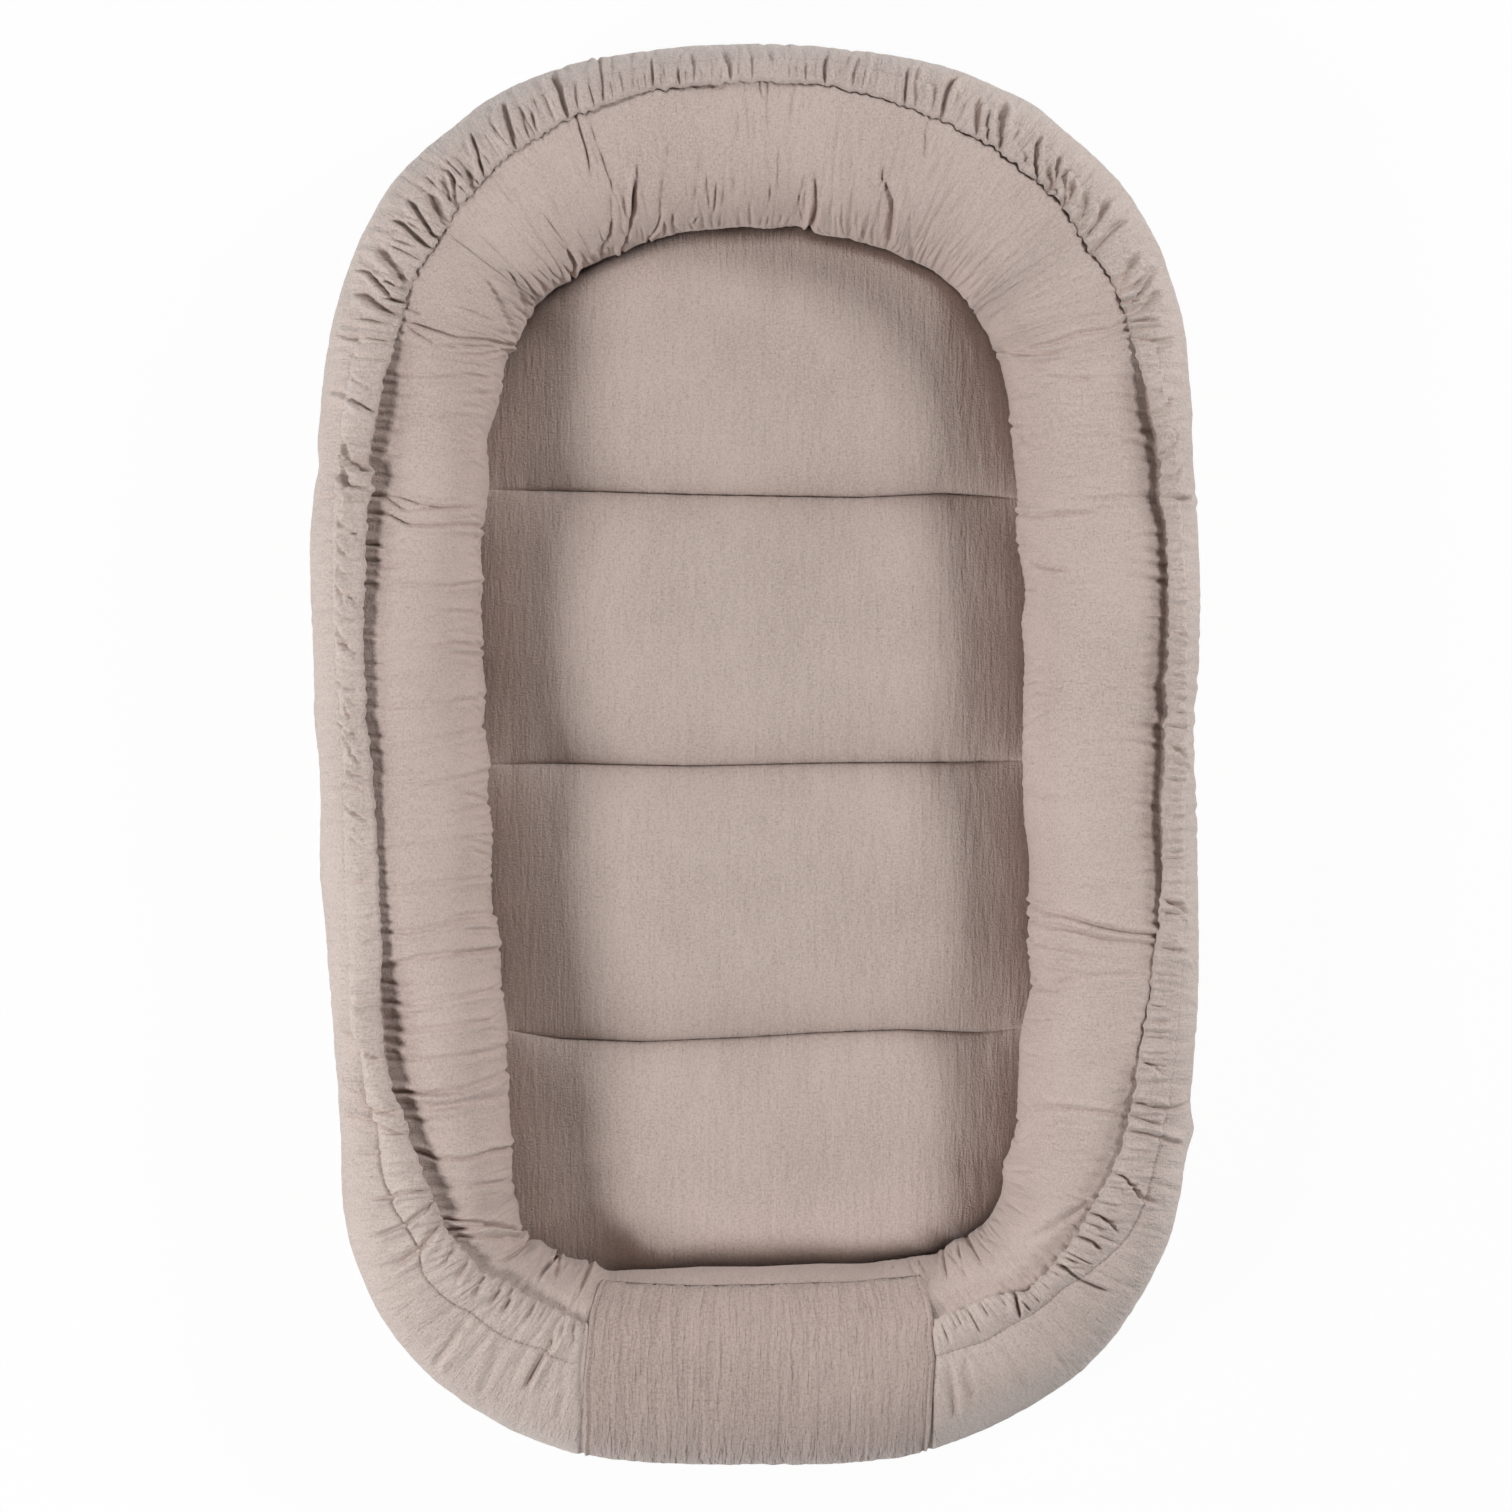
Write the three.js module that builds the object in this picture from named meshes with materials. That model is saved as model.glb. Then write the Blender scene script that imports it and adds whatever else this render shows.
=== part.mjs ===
import * as THREE from 'three';

// Infant lounger: a stuffed bolster bent to an oval ring, a fitted cover drawn over it by elastic,
// a plain panel across the foot end and a quilted pad that lifts out.
// Millimetres, +Z up, +Y towards the head end, origin on the floor under the middle.

// Plan of the fitted cover at its widest level
const overallWidth = 551;
const overallLength = 880;

// Bolster: nominal width in plan, height over its own cover, and how far its underside is pressed flat
const rollWidth = 106;
const rollHeight = 118;
const rollSag = 8;

// Cloths, with the air kept between pieces that touch
const coverCloth = 1.8;
const bumperCloth = 1.4;
const padCloth = 1.2;
const gap = 0.35;

// Elastic edge: deepest reach of the hem over the bolster, widest casing, pleats and the elastic itself
const hemReach = 80;
const casingWidth = 28;
const hemFold = 2.4;
const pleatHeight = 6;
const elasticWidth = 5;
const elasticThickness = 1.2;
const stitchWidth = 1.2;
const stitchHeight = 0.8;
const stitchInset = 1.6;

// Foot panel: width across the bolster, how far its inner edge stops short, and its side seams
const panelWidth = 214;
const panelStop = 7;
const panelSeamWidth = 3.5;
const panelSeamHeight = 0.9;
const panelSeamInset = 1;

// Base: how far its edge lies inside the plan, its three layers and the seam round it
const baseInset = 22;
const baseStep = 2;
const baseCloth = 1.6;
const baseWadding = 4;
const baseLining = 1.2;
const baseSeam = 1.8;

// Pad: play to the bolster, heights over its own underside, rounded rims, sewn lines
const padPlay = 2.6;
const padCrown = 38;
const padSeamHeight = 15;
const padRimHeight = 12;
const padRim = 36;
const padLowerRim = 14;
const padEndInset = 3;
const quiltSeam = 3.2;
const quiltThread = 1;
const padBead = 1.4;

// Rounds of the outline, anticlockwise from the middle of the foot end.
// x and y are shares of the half width and half length, roll of rollWidth, hem of hemReach,
// casing of casingWidth and pleat of pleatHeight.
const outlineShares = [
  { x: 0, y: -1, roll: 1.15, hem: 1, casing: 0.9, pleat: 0.4 },
  { x: 0.391, y: -0.98, roll: 1.1, hem: 0.97, casing: 0.86, pleat: 0.6 },
  { x: 0.732, y: -0.867, roll: 1.03, hem: 0.84, casing: 0.8, pleat: 0.8 },
  { x: 0.919, y: -0.698, roll: 1, hem: 0.66, casing: 1, pleat: 0.9 },
  { x: 0.98, y: -0.477, roll: 1, hem: 0.46, casing: 0.82, pleat: 0.6 },
  { x: 0.996, y: -0.227, roll: 0.98, hem: 0.31, casing: 0.62, pleat: 0.3 },
  { x: 0.99, y: 0, roll: 1, hem: 0.26, casing: 0.55, pleat: 0.3 },
  { x: 1, y: 0.227, roll: 1.03, hem: 0.26, casing: 0.55, pleat: 0.2 },
  { x: 0.982, y: 0.443, roll: 1.04, hem: 0.29, casing: 0.56, pleat: 0.3 },
  { x: 0.942, y: 0.655, roll: 1.09, hem: 0.44, casing: 0.62, pleat: 0.8 },
  { x: 0.791, y: 0.824, roll: 1.09, hem: 0.49, casing: 0.68, pleat: 1 },
  { x: 0.465, y: 0.959, roll: 1.08, hem: 0.4, casing: 0.64, pleat: 0.8 },
  { x: 0, y: 1, roll: 1.06, hem: 0.3, casing: 0.58, pleat: 0.35 },
  { x: -0.465, y: 0.959, roll: 1.09, hem: 0.4, casing: 0.64, pleat: 0.8 },
  { x: -0.789, y: 0.824, roll: 1.08, hem: 0.51, casing: 0.68, pleat: 1 },
  { x: -0.933, y: 0.655, roll: 1.04, hem: 0.5, casing: 0.68, pleat: 0.8 },
  { x: -0.982, y: 0.443, roll: 1, hem: 0.41, casing: 0.7, pleat: 0.4 },
  { x: -1, y: 0.239, roll: 1, hem: 0.43, casing: 0.72, pleat: 0.1 },
  { x: -0.985, y: 0, roll: 1, hem: 0.41, casing: 0.7, pleat: 0.1 },
  { x: -0.971, y: -0.227, roll: 0.99, hem: 0.43, casing: 0.76, pleat: 0.15 },
  { x: -0.942, y: -0.466, roll: 0.99, hem: 0.46, casing: 0.66, pleat: 0.6 },
  { x: -0.911, y: -0.693, roll: 1, hem: 0.73, casing: 0.8, pleat: 0.8 },
  { x: -0.746, y: -0.867, roll: 1.01, hem: 0.92, casing: 0.98, pleat: 0.7 },
  { x: -0.433, y: -0.979, roll: 1.08, hem: 1.01, casing: 0.98, pleat: 0.6 },
];

// Where the sewn lines cross the pad, as shares of its length from the foot end
const quiltSeamShares = [0.223, 0.482, 0.743];

// Rows of each channel and columns of each rim, as shares of the channel and of the rim
const channelRowShares = [0, 0.06, 0.25, 0.5, 0.75, 0.94, 1];
const rimColumnShares = [0, 0.12, 0.4, 1];

// Counts
const ringSteps = 46;
const sectionSides = 12;
const wallSteps = 5;
const panelSteps = 8;

// Form of the stuffed section: below 1 it is squarer than an ellipse
const squareness = 0.8;
const lowWallAngle = THREE.MathUtils.degToRad(-50);
const slitAngle = THREE.MathUtils.degToRad(10);
const bendShare = 0.35;
const crownPower = 2.6;
const crownRoot = 0.6;

// Layers of the bolster, as distances out from the surface of its filling
const bumperOut = gap + bumperCloth;
const facetSag = (rollWidth / 2) * (1 - Math.cos(Math.PI / sectionSides));
const coverIn = bumperOut + gap + facetSag;
const coverOut = coverIn + coverCloth;

// Levels
const waddingBottom = baseCloth + gap;
const liningBottom = waddingBottom + baseWadding + gap;
const floorLevel = liningBottom + baseLining + gap;
const fillBottom = floorLevel + bumperOut;
const fillTop = floorLevel + rollHeight - bumperOut;
const rollHalfHeight = (fillTop - fillBottom + rollSag) / 2;
const rollMiddle = fillTop - rollHalfHeight;
const wallFoot = gap + baseSeam + gap;
const padRimLevel = floorLevel + padRimHeight;

// Colours
const muslin = new THREE.MeshStandardMaterial({ color: 0xbeada3, roughness: 0.9, metalness: 0 });
const plainWeave = new THREE.MeshStandardMaterial({ color: 0xb8a79d, roughness: 0.85, metalness: 0 });
const thread = new THREE.MeshStandardMaterial({ color: 0xa8968c, roughness: 0.7, metalness: 0 });
const fibre = new THREE.MeshStandardMaterial({ color: 0xf2f0ec, roughness: 0.95, metalness: 0 });
const elastic = new THREE.MeshStandardMaterial({ color: 0xe8e6e2, roughness: 0.6, metalness: 0 });

const lounger = new THREE.Group();

function addPiece(name, geometry, material) {
  const mesh = new THREE.Mesh(geometry, material);
  mesh.name = name;
  lounger.add(mesh);
}

// A closed curve through one value of each row of the outline table
function closedCurve(valuesOf) {
  const points = outlineShares.map((row) => new THREE.Vector3(...valuesOf(row)));
  return new THREE.CatmullRomCurve3(points, true, 'catmullrom', 0.5);
}

const planCurve = closedCurve((row) => [
  (row.x * overallWidth) / 2,
  (row.y * overallLength) / 2,
  row.roll * rollWidth,
]);
const edgeCurve = closedCurve((row) => [
  row.hem * hemReach,
  row.casing * casingWidth,
  row.pleat * pleatHeight,
]);

// The whole stations round the ring: a point of the plan, the way inwards and the sizes there
const wholeStations = Array.from({ length: ringSteps }, (unused, index) => {
  const turn = index / ringSteps;
  const plan = planCurve.getPoint(turn);
  const edge = edgeCurve.getPoint(turn);
  const along = planCurve.getTangent(turn);
  const inwards = new THREE.Vector2(-along.y, along.x).normalize();
  return {
    x: plan.x,
    y: plan.y,
    inX: inwards.x,
    inY: inwards.y,
    roll: plan.z,
    hem: edge.x,
    casing: edge.y,
    pleat: edge.z,
  };
});

// A station at any place round the ring, so that every layer shares the facets of the whole ones
function stationAt(place) {
  const before = Math.floor(place);
  const share = place - before;
  const first = wholeStations[THREE.MathUtils.euclideanModulo(before, ringSteps)];
  const second = wholeStations[THREE.MathUtils.euclideanModulo(before + 1, ringSteps)];
  const station = {};
  for (const key of Object.keys(first)) {
    station[key] = THREE.MathUtils.lerp(first[key], second[key], share);
  }
  return station;
}

function pointAt(station, depth, level) {
  return [station.x + station.inX * depth, station.y + station.inY * depth, level];
}

// Places from one to another, on every multiple of the step between them
function placesBetween(from, to, step) {
  const places = [from];
  const first = Math.floor(from / step) + 1;
  const last = Math.ceil(to / step) - 1;
  for (let index = first; index <= last; index += 1) {
    places.push(index * step);
  }
  places.push(to);
  return places;
}

// Where the foot end, walked from its middle, reaches a distance to the side
function footPlace(distance) {
  let place = 0;
  while (stationAt(place + 1).x < distance) {
    place += 1;
  }
  const near = stationAt(place).x;
  const far = stationAt(place + 1).x;
  return place + (distance - near) / (far - near);
}

// The same on the left side, as a place below zero
function footPlaceLeft(distance) {
  let place = 0;
  while (-stationAt(place - 1).x < distance) {
    place -= 1;
  }
  const near = -stationAt(place).x;
  const far = -stationAt(place - 1).x;
  return place - (distance - near) / (far - near);
}

// Two triangles over four corners, split along the shorter diagonal
function fourSided(positions, a, b, c, d) {
  const corner = (index) => new THREE.Vector3().fromArray(positions, 3 * index);
  if (corner(a).distanceTo(corner(c)) <= corner(b).distanceTo(corner(d))) {
    return [a, b, c, a, c, d];
  }
  return [a, b, d, b, c, d];
}

// A closed solid swept through sections of [depth, level] pairs; an open one gets end faces
function sweptSolid(places, sectionOf, closed) {
  const positions = [];
  const triangles = [];
  const stations = places.map(stationAt);
  const sections = places.map((place, index) => sectionOf(stations[index], place));
  const flat = sections[0].map(([depth, level]) => new THREE.Vector2(depth, level));
  if (THREE.ShapeUtils.area(flat) < 0) {
    sections.forEach((section) => section.reverse());
    flat.reverse();
  }
  const count = flat.length;
  sections.forEach((section, index) => {
    section.forEach(([depth, level]) => positions.push(...pointAt(stations[index], depth, level)));
  });
  const spans = closed ? places.length : places.length - 1;
  for (let span = 0; span < spans; span += 1) {
    const here = span * count;
    const next = ((span + 1) % places.length) * count;
    for (let corner = 0; corner < count; corner += 1) {
      const other = (corner + 1) % count;
      triangles.push(...fourSided(positions, here + corner, here + other, next + other, next + corner));
    }
  }
  if (!closed) {
    const endStart = (places.length - 1) * count;
    const lastFlat = sections.at(-1).map(([depth, level]) => new THREE.Vector2(depth, level));
    for (const [a, b, c] of THREE.ShapeUtils.triangulateShape(flat, [])) {
      triangles.push(a, c, b);
    }
    for (const [a, b, c] of THREE.ShapeUtils.triangulateShape(lastFlat, [])) {
      triangles.push(endStart + a, endStart + b, endStart + c);
    }
  }
  return solidFrom(positions, triangles);
}

function solidFrom(positions, triangles) {
  const geometry = new THREE.BufferGeometry();
  geometry.setAttribute('position', new THREE.Float32BufferAttribute(positions, 3));
  geometry.setIndex(triangles);
  geometry.computeVertexNormals();
  return geometry;
}

// A number from -1 to 1, drawn out towards the corners of a squarer section
function squared(value) {
  return Math.sign(value) * Math.abs(value) ** squareness;
}

function halfRoll(station) {
  return (station.roll - bumperOut - coverOut) / 2;
}

// A point of the bolster's section: angle 0 is outermost, a quarter turn is the top
function rollPoint(station, angle, offset) {
  const half = halfRoll(station);
  const depth = coverOut + half - (half + offset) * squared(Math.cos(angle));
  const level = rollMiddle + (rollHalfHeight + offset) * squared(Math.sin(angle));
  return [depth, Math.max(level, fillBottom - offset)];
}

// The angle at which the cover's layer lies at a reach in from the plan
function angleAtReach(station, reach) {
  const half = halfRoll(station);
  const across = (coverOut + half - reach) / (half + coverOut);
  return Math.acos(Math.sign(across) * Math.abs(across) ** (1 / squareness));
}

// Height of the pleats, with a crest between every two whole stations
function pleatAt(station, place) {
  return station.pleat * Math.sin(Math.PI * place) ** 2;
}

function pairUp(outer, inner) {
  return [...outer, ...inner.reverse()];
}

// Base
function plate(inset, bottom, thickness) {
  const corners = wholeStations.map((station) => {
    const [x, y] = pointAt(station, inset, bottom);
    return new THREE.Vector2(x, y);
  });
  const geometry = new THREE.ExtrudeGeometry(new THREE.Shape(corners), {
    depth: thickness,
    bevelEnabled: false,
  });
  return geometry.translate(0, 0, bottom);
}

function beadSection(depth, level, width, height) {
  return [
    [depth, level],
    [depth + width, level],
    [depth + width, level + height],
    [depth, level + height],
  ];
}

const wholePlaces = wholeStations.map((station, index) => index);
addPiece('base_cloth', plate(baseInset, 0, baseCloth), muslin);
addPiece('base_wadding', plate(baseInset + baseStep, waddingBottom, baseWadding), fibre);
addPiece('base_lining', plate(baseInset + 2 * baseStep, liningBottom, baseLining), plainWeave);
addPiece(
  'base_seam',
  sweptSolid(wholePlaces, () => beadSection(baseInset - gap - baseSeam, gap, baseSeam, baseSeam), true),
  thread,
);

// Bolster filling: its two ends meet under the middle of the foot panel
const sideAngle = (2 * Math.PI) / sectionSides;
const sectionAngles = Array.from(
  { length: sectionSides },
  (unused, side) => -Math.PI / 2 + side * sideAngle,
);

function fillSection(station) {
  return sectionAngles.map((angle) => rollPoint(station, angle, 0));
}

addPiece(
  'bumper_fill',
  sweptSolid(
    placesBetween(footPlace(gap), ringSteps + footPlaceLeft(gap), 1),
    fillSection,
    false,
  ),
  fibre,
);

// Bolster cover: a tube of plain weave, left open by a narrow slit along its underside
const tubeAngles = [
  -Math.PI / 2 + slitAngle,
  ...sectionAngles.slice(1),
  (3 * Math.PI) / 2 - slitAngle,
];

function bumperSection(station) {
  return pairUp(
    tubeAngles.map((angle) => rollPoint(station, angle, bumperOut)),
    tubeAngles.map((angle) => rollPoint(station, angle, gap)),
  );
}

addPiece('bumper_cover', sweptSolid(wholePlaces, bumperSection, true), plainWeave);

// Fitted cover: its wall, from the base seam over the outside of the bolster to the stitched line
const panelHalf = panelWidth / 2;
const wallPlaces = placesBetween(
  footPlace(panelHalf + gap),
  ringSteps + footPlaceLeft(panelHalf + gap),
  1 / 2,
);
const wallFootPoints = [
  [baseInset - gap - coverCloth, wallFoot],
  [baseInset - gap, wallFoot],
];

function stitchReach(station) {
  return station.hem - station.casing;
}

function wallSection(station, place) {
  const top = angleAtReach(station, stitchReach(station) - gap);
  const outer = [wallFootPoints[0]];
  const inner = [wallFootPoints[1]];
  for (let step = 0; step <= wallSteps; step += 1) {
    const share = step / wallSteps;
    const angle = THREE.MathUtils.lerp(lowWallAngle, top, share);
    const lift = pleatAt(station, place) * share ** 3;
    outer.push(rollPoint(station, angle, coverOut + lift));
    inner.push(rollPoint(station, angle, coverIn + lift));
  }
  return pairUp(outer, inner);
}

addPiece('outer_cover', sweptSolid(wallPlaces, wallSection, false), muslin);

// Casing: the edge of the cover folded back on itself round the elastic, open towards the stitches
function casingAngles(station) {
  const stitched = angleAtReach(station, stitchReach(station));
  const inside = angleAtReach(station, station.hem - coverCloth);
  return {
    stitched,
    inside,
    bend: THREE.MathUtils.lerp(stitched, inside, bendShare),
    hem: angleAtReach(station, station.hem),
    tip: angleAtReach(station, station.hem + hemFold / 2),
  };
}

const tunnelFloor = coverOut;
const tunnelRoof = tunnelFloor + gap + elasticThickness + gap;

function casingSection(station, place) {
  const angles = casingAngles(station);
  const lift = pleatAt(station, place);
  const seamRoof = tunnelFloor + gap + lift;
  const roof = tunnelRoof + lift;
  const middle = (coverIn + roof + coverCloth) / 2;
  return [
    rollPoint(station, angles.stitched, seamRoof + coverCloth),
    rollPoint(station, angles.bend, roof + coverCloth),
    rollPoint(station, angles.hem, roof + coverCloth),
    rollPoint(station, angles.tip, middle),
    rollPoint(station, angles.hem, coverIn),
    rollPoint(station, angles.bend, coverIn),
    rollPoint(station, angles.stitched, coverIn),
    rollPoint(station, angles.stitched, tunnelFloor),
    rollPoint(station, angles.bend, tunnelFloor),
    rollPoint(station, angles.inside, tunnelFloor),
    rollPoint(station, angles.inside, roof),
    rollPoint(station, angles.bend, roof),
    rollPoint(station, angles.stitched, seamRoof),
  ];
}

addPiece('elastic_casing', sweptSolid(wallPlaces, casingSection, false), muslin);

// A thin strip laid on a straight stretch of a section, from a start along it and a rise off it
function stripOn(from, to, start, width, rise, height) {
  const base = new THREE.Vector2(...from);
  const along = new THREE.Vector2(...to).sub(base).normalize();
  const up = new THREE.Vector2(-along.y, along.x);
  const corner = (run, climb) => {
    const point = base.clone().addScaledVector(along, run).addScaledVector(up, climb);
    return [point.x, point.y];
  };
  return [
    corner(start, rise),
    corner(start + width, rise),
    corner(start + width, rise + height),
    corner(start, rise + height),
  ];
}

function elasticSection(station) {
  const angles = casingAngles(station);
  const bend = rollPoint(station, angles.bend, tunnelFloor);
  const inside = rollPoint(station, angles.inside, tunnelFloor);
  const run = new THREE.Vector2(...bend).distanceTo(new THREE.Vector2(...inside));
  return stripOn(bend, inside, run - gap - elasticWidth, elasticWidth, gap, elasticThickness);
}

function stitchSection(station, place) {
  const angles = casingAngles(station);
  const lift = pleatAt(station, place);
  const low = rollPoint(station, angles.stitched, tunnelFloor + gap + lift + coverCloth);
  const high = rollPoint(station, angles.bend, tunnelRoof + lift + coverCloth);
  return stripOn(low, high, stitchInset, stitchWidth, gap, stitchHeight);
}

addPiece('elastic_band', sweptSolid(wallPlaces, elasticSection, false), elastic);
addPiece('casing_stitching', sweptSolid(wallPlaces, stitchSection, false), thread);

// Foot panel: over the bolster from the base seam to an edge just short of the pad
const panelPlaces = placesBetween(footPlaceLeft(panelHalf), footPlace(panelHalf), 1);

function panelAngles(station) {
  const end = angleAtReach(station, station.roll - panelStop);
  return Array.from({ length: panelSteps + 1 }, (unused, step) =>
    THREE.MathUtils.lerp(lowWallAngle, end, step / panelSteps),
  );
}

function panelSection(station) {
  const angles = panelAngles(station);
  return pairUp(
    [wallFootPoints[0], ...angles.map((angle) => rollPoint(station, angle, coverOut))],
    [wallFootPoints[1], ...angles.map((angle) => rollPoint(station, angle, coverIn))],
  );
}

function panelSeamSection(station) {
  const angles = panelAngles(station);
  return pairUp(
    angles.map((angle) => rollPoint(station, angle, coverOut + gap + panelSeamHeight)),
    angles.map((angle) => rollPoint(station, angle, coverOut + gap)),
  );
}

addPiece('foot_panel', sweptSolid(panelPlaces, panelSection, false), muslin);
const seamOuter = panelHalf - panelSeamInset;
const seamInner = seamOuter - panelSeamWidth;
addPiece(
  'foot_seam_left',
  sweptSolid([footPlaceLeft(seamOuter), footPlaceLeft(seamInner)], panelSeamSection, false),
  muslin,
);
addPiece(
  'foot_seam_right',
  sweptSolid([footPlace(seamInner), footPlace(seamOuter)], panelSeamSection, false),
  muslin,
);

// Pad outline: the bolster's innermost line, less the play
const padCorners = wholeStations.map((station) => {
  const [x, y] = pointAt(station, station.roll + padPlay, 0);
  return new THREE.Vector2(x, y);
});
const padFoot = Math.min(...padCorners.map((corner) => corner.y)) + padEndInset;
const padHead = Math.max(...padCorners.map((corner) => corner.y)) - padEndInset;
const quiltLevels = quiltSeamShares.map((share) => THREE.MathUtils.lerp(padFoot, padHead, share));
const channelEnds = [padFoot, ...quiltLevels, padHead];
const channelCount = channelEnds.length - 1;

// Left and right limits of the pad where a line across it meets the outline
function padLimits(y) {
  const crossings = [];
  padCorners.forEach((corner, index) => {
    const next = padCorners[(index + 1) % padCorners.length];
    if (corner.y <= y !== next.y <= y) {
      crossings.push(THREE.MathUtils.mapLinear(y, corner.y, next.y, corner.x, next.x));
    }
  });
  return [Math.min(...crossings), Math.max(...crossings)];
}

function distanceToPadEdge(x, y) {
  const point = new THREE.Vector3(x, y, 0);
  const nearest = new THREE.Vector3();
  const side = new THREE.Line3();
  let distance = Infinity;
  padCorners.forEach((corner, index) => {
    const next = padCorners[(index + 1) % padCorners.length];
    side.start.set(corner.x, corner.y, 0);
    side.end.set(next.x, next.y, 0);
    side.closestPointToPoint(point, true, nearest);
    distance = Math.min(distance, nearest.distanceTo(point));
  });
  return distance;
}

// Rounded rise from an edge, from 0 at the edge to 1 at the rim's width and beyond
function roundedRise(distance, width) {
  const left = 1 - Math.min(distance / width, 1);
  return Math.sqrt(1 - left ** 2);
}

// Half of a sewn line on the channel's side of it, and nothing at the pad's own ends
function channelRange(channel) {
  const low = channelEnds[channel] + (channel > 0 ? quiltSeam / 2 : 0);
  const high = channelEnds[channel + 1] - (channel < channelCount - 1 ? quiltSeam / 2 : 0);
  return { low, high };
}

// Height of a channel: full at its crown and at the pad's ends, low at a sewn line
function channelHeight(channel, y) {
  const { low, high } = channelRange(channel);
  const offCentre = THREE.MathUtils.mapLinear(y, low, high, -1, 1);
  const endless = (channel === 0 && offCentre < 0) || (channel === channelCount - 1 && offCentre > 0);
  const drop = endless ? 0 : Math.min(Math.abs(offCentre), 1);
  return padSeamHeight + (padCrown - padSeamHeight) * (1 - drop ** crownPower) ** crownRoot;
}

// Columns of a row: the rim's shares in from each side, drawn together where the row is narrow
function padColumns(y) {
  const [left, right] = padLimits(y);
  const rim = Math.min(padRim, (right - left) / 3);
  const fromLeft = rimColumnShares.map((share) => left + share * rim);
  const fromRight = rimColumnShares.map((share) => right - share * rim).reverse();
  return [...fromLeft, (left + right) / 2, ...fromRight];
}

// The pad's grid of nodes, each with the level of its top and of its underside
const padRows = [];
for (let channel = 0; channel < channelCount; channel += 1) {
  const { low, high } = channelRange(channel);
  for (const share of channelRowShares) {
    const y = THREE.MathUtils.lerp(low, high, share);
    const height = channelHeight(channel, y);
    const nodes = padColumns(y).map((x) => {
      const distance = distanceToPadEdge(x, y);
      return {
        x,
        y,
        top: padRimLevel + (height - padRimHeight) * roundedRise(distance, padRim),
        under: padRimLevel - padRimHeight * roundedRise(distance, padLowerRim),
      };
    });
    padRows.push({ channel, nodes });
  }
}
const padColumnCount = padRows[0].nodes.length;

// A closed solid between an upper and a lower grid of points of the same rows and columns
function gridSolid(upper, lower) {
  const rows = upper.length;
  const columns = upper[0].length;
  const positions = [...upper.flat(2), ...lower.flat(2)];
  const triangles = [];
  const index = (row, column) => row * columns + column;
  const under = rows * columns;
  for (let row = 0; row < rows - 1; row += 1) {
    for (let column = 0; column < columns - 1; column += 1) {
      const [a, b] = [index(row, column), index(row, column + 1)];
      const [c, d] = [index(row + 1, column + 1), index(row + 1, column)];
      triangles.push(a, b, c, a, c, d);
      triangles.push(under + a, under + c, under + b, under + a, under + d, under + c);
    }
  }
  const rim = [];
  for (let column = 0; column < columns - 1; column += 1) {
    rim.push([index(0, column), index(0, column + 1)]);
    rim.push([index(rows - 1, column + 1), index(rows - 1, column)]);
  }
  for (let row = 0; row < rows - 1; row += 1) {
    rim.push([index(row, columns - 1), index(row + 1, columns - 1)]);
    rim.push([index(row + 1, 0), index(row, 0)]);
  }
  for (const [from, to] of rim) {
    triangles.push(from, under + from, under + to, from, under + to, to);
  }
  return solidFrom(positions, triangles);
}

// A node on the inside of a pad cover: at the pad's edge it moves in, elsewhere it moves up or down
function insideNode(node, row, column, level) {
  const middle = (padRows[row].nodes[0].x + padRows[row].nodes.at(-1).x) / 2;
  const atSide = column === 0 || column === padColumnCount - 1;
  const atEnd = row === 0 || row === padRows.length - 1;
  const x = atSide ? node.x + Math.sign(middle - node.x) * padCloth : node.x;
  const y = atEnd ? node.y - Math.sign(node.y) * padCloth : node.y;
  return [x, y, level];
}

function onPadEdge(row, column) {
  return row === 0 || row === padRows.length - 1 || column === 0 || column === padColumnCount - 1;
}

function mapPad(pointOf) {
  return padRows.map(({ nodes }, row) => nodes.map((node, column) => pointOf(node, row, column)));
}

const topOuter = mapPad((node, row, column) => [
  node.x,
  node.y,
  onPadEdge(row, column) ? padRimLevel : node.top,
]);
const topInner = mapPad((node, row, column) =>
  insideNode(node, row, column, onPadEdge(row, column) ? padRimLevel : node.top - padCloth),
);
const underLevel = padRimLevel - gap;
const underOuter = mapPad((node, row, column) => [
  node.x,
  node.y,
  onPadEdge(row, column) ? underLevel : Math.min(node.under, underLevel),
]);
const underInner = mapPad((node, row, column) =>
  insideNode(
    node,
    row,
    column,
    onPadEdge(row, column) ? underLevel : Math.min(node.under + padCloth, underLevel),
  ),
);
addPiece('pad_top_cover', gridSolid(topOuter, topInner), muslin);
addPiece('pad_bottom_cover', gridSolid(underInner, underOuter), muslin);

// Wadding of one channel, on the nodes that lie inside the covers
function channelFill(channel) {
  const rows = padRows.filter(
    (row, index) => row.channel === channel && index > 0 && index < padRows.length - 1,
  );
  const layer = (levelOf) =>
    rows.map(({ nodes }) => nodes.slice(1, -1).map((node) => [node.x, node.y, levelOf(node)]));
  return gridSolid(
    layer((node) => node.top - padCloth - gap),
    layer((node) => node.under + padCloth + gap),
  );
}

for (let channel = 0; channel < channelCount; channel += 1) {
  addPiece(`pad_fill_${channel + 1}`, channelFill(channel), fibre);
}

// Threads of the sewn lines, lying in the valleys of the top cover
function quiltThreadSolid(channel) {
  const rows = padRows.filter((row) => row.channel === channel);
  const nodes = rows.at(-1).nodes.slice(1, -1);
  const y = channelEnds[channel + 1];
  const edge = (side, climb) =>
    nodes.map((node) => [node.x, y + (side * quiltThread) / 2, node.top + gap + climb]);
  return gridSolid(
    [edge(-1, quiltThread), edge(1, quiltThread)],
    [edge(-1, 0), edge(1, 0)],
  );
}

for (let channel = 0; channel < channelCount - 1; channel += 1) {
  addPiece(`quilt_seam_${channel + 1}`, quiltThreadSolid(channel), thread);
}

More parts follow.
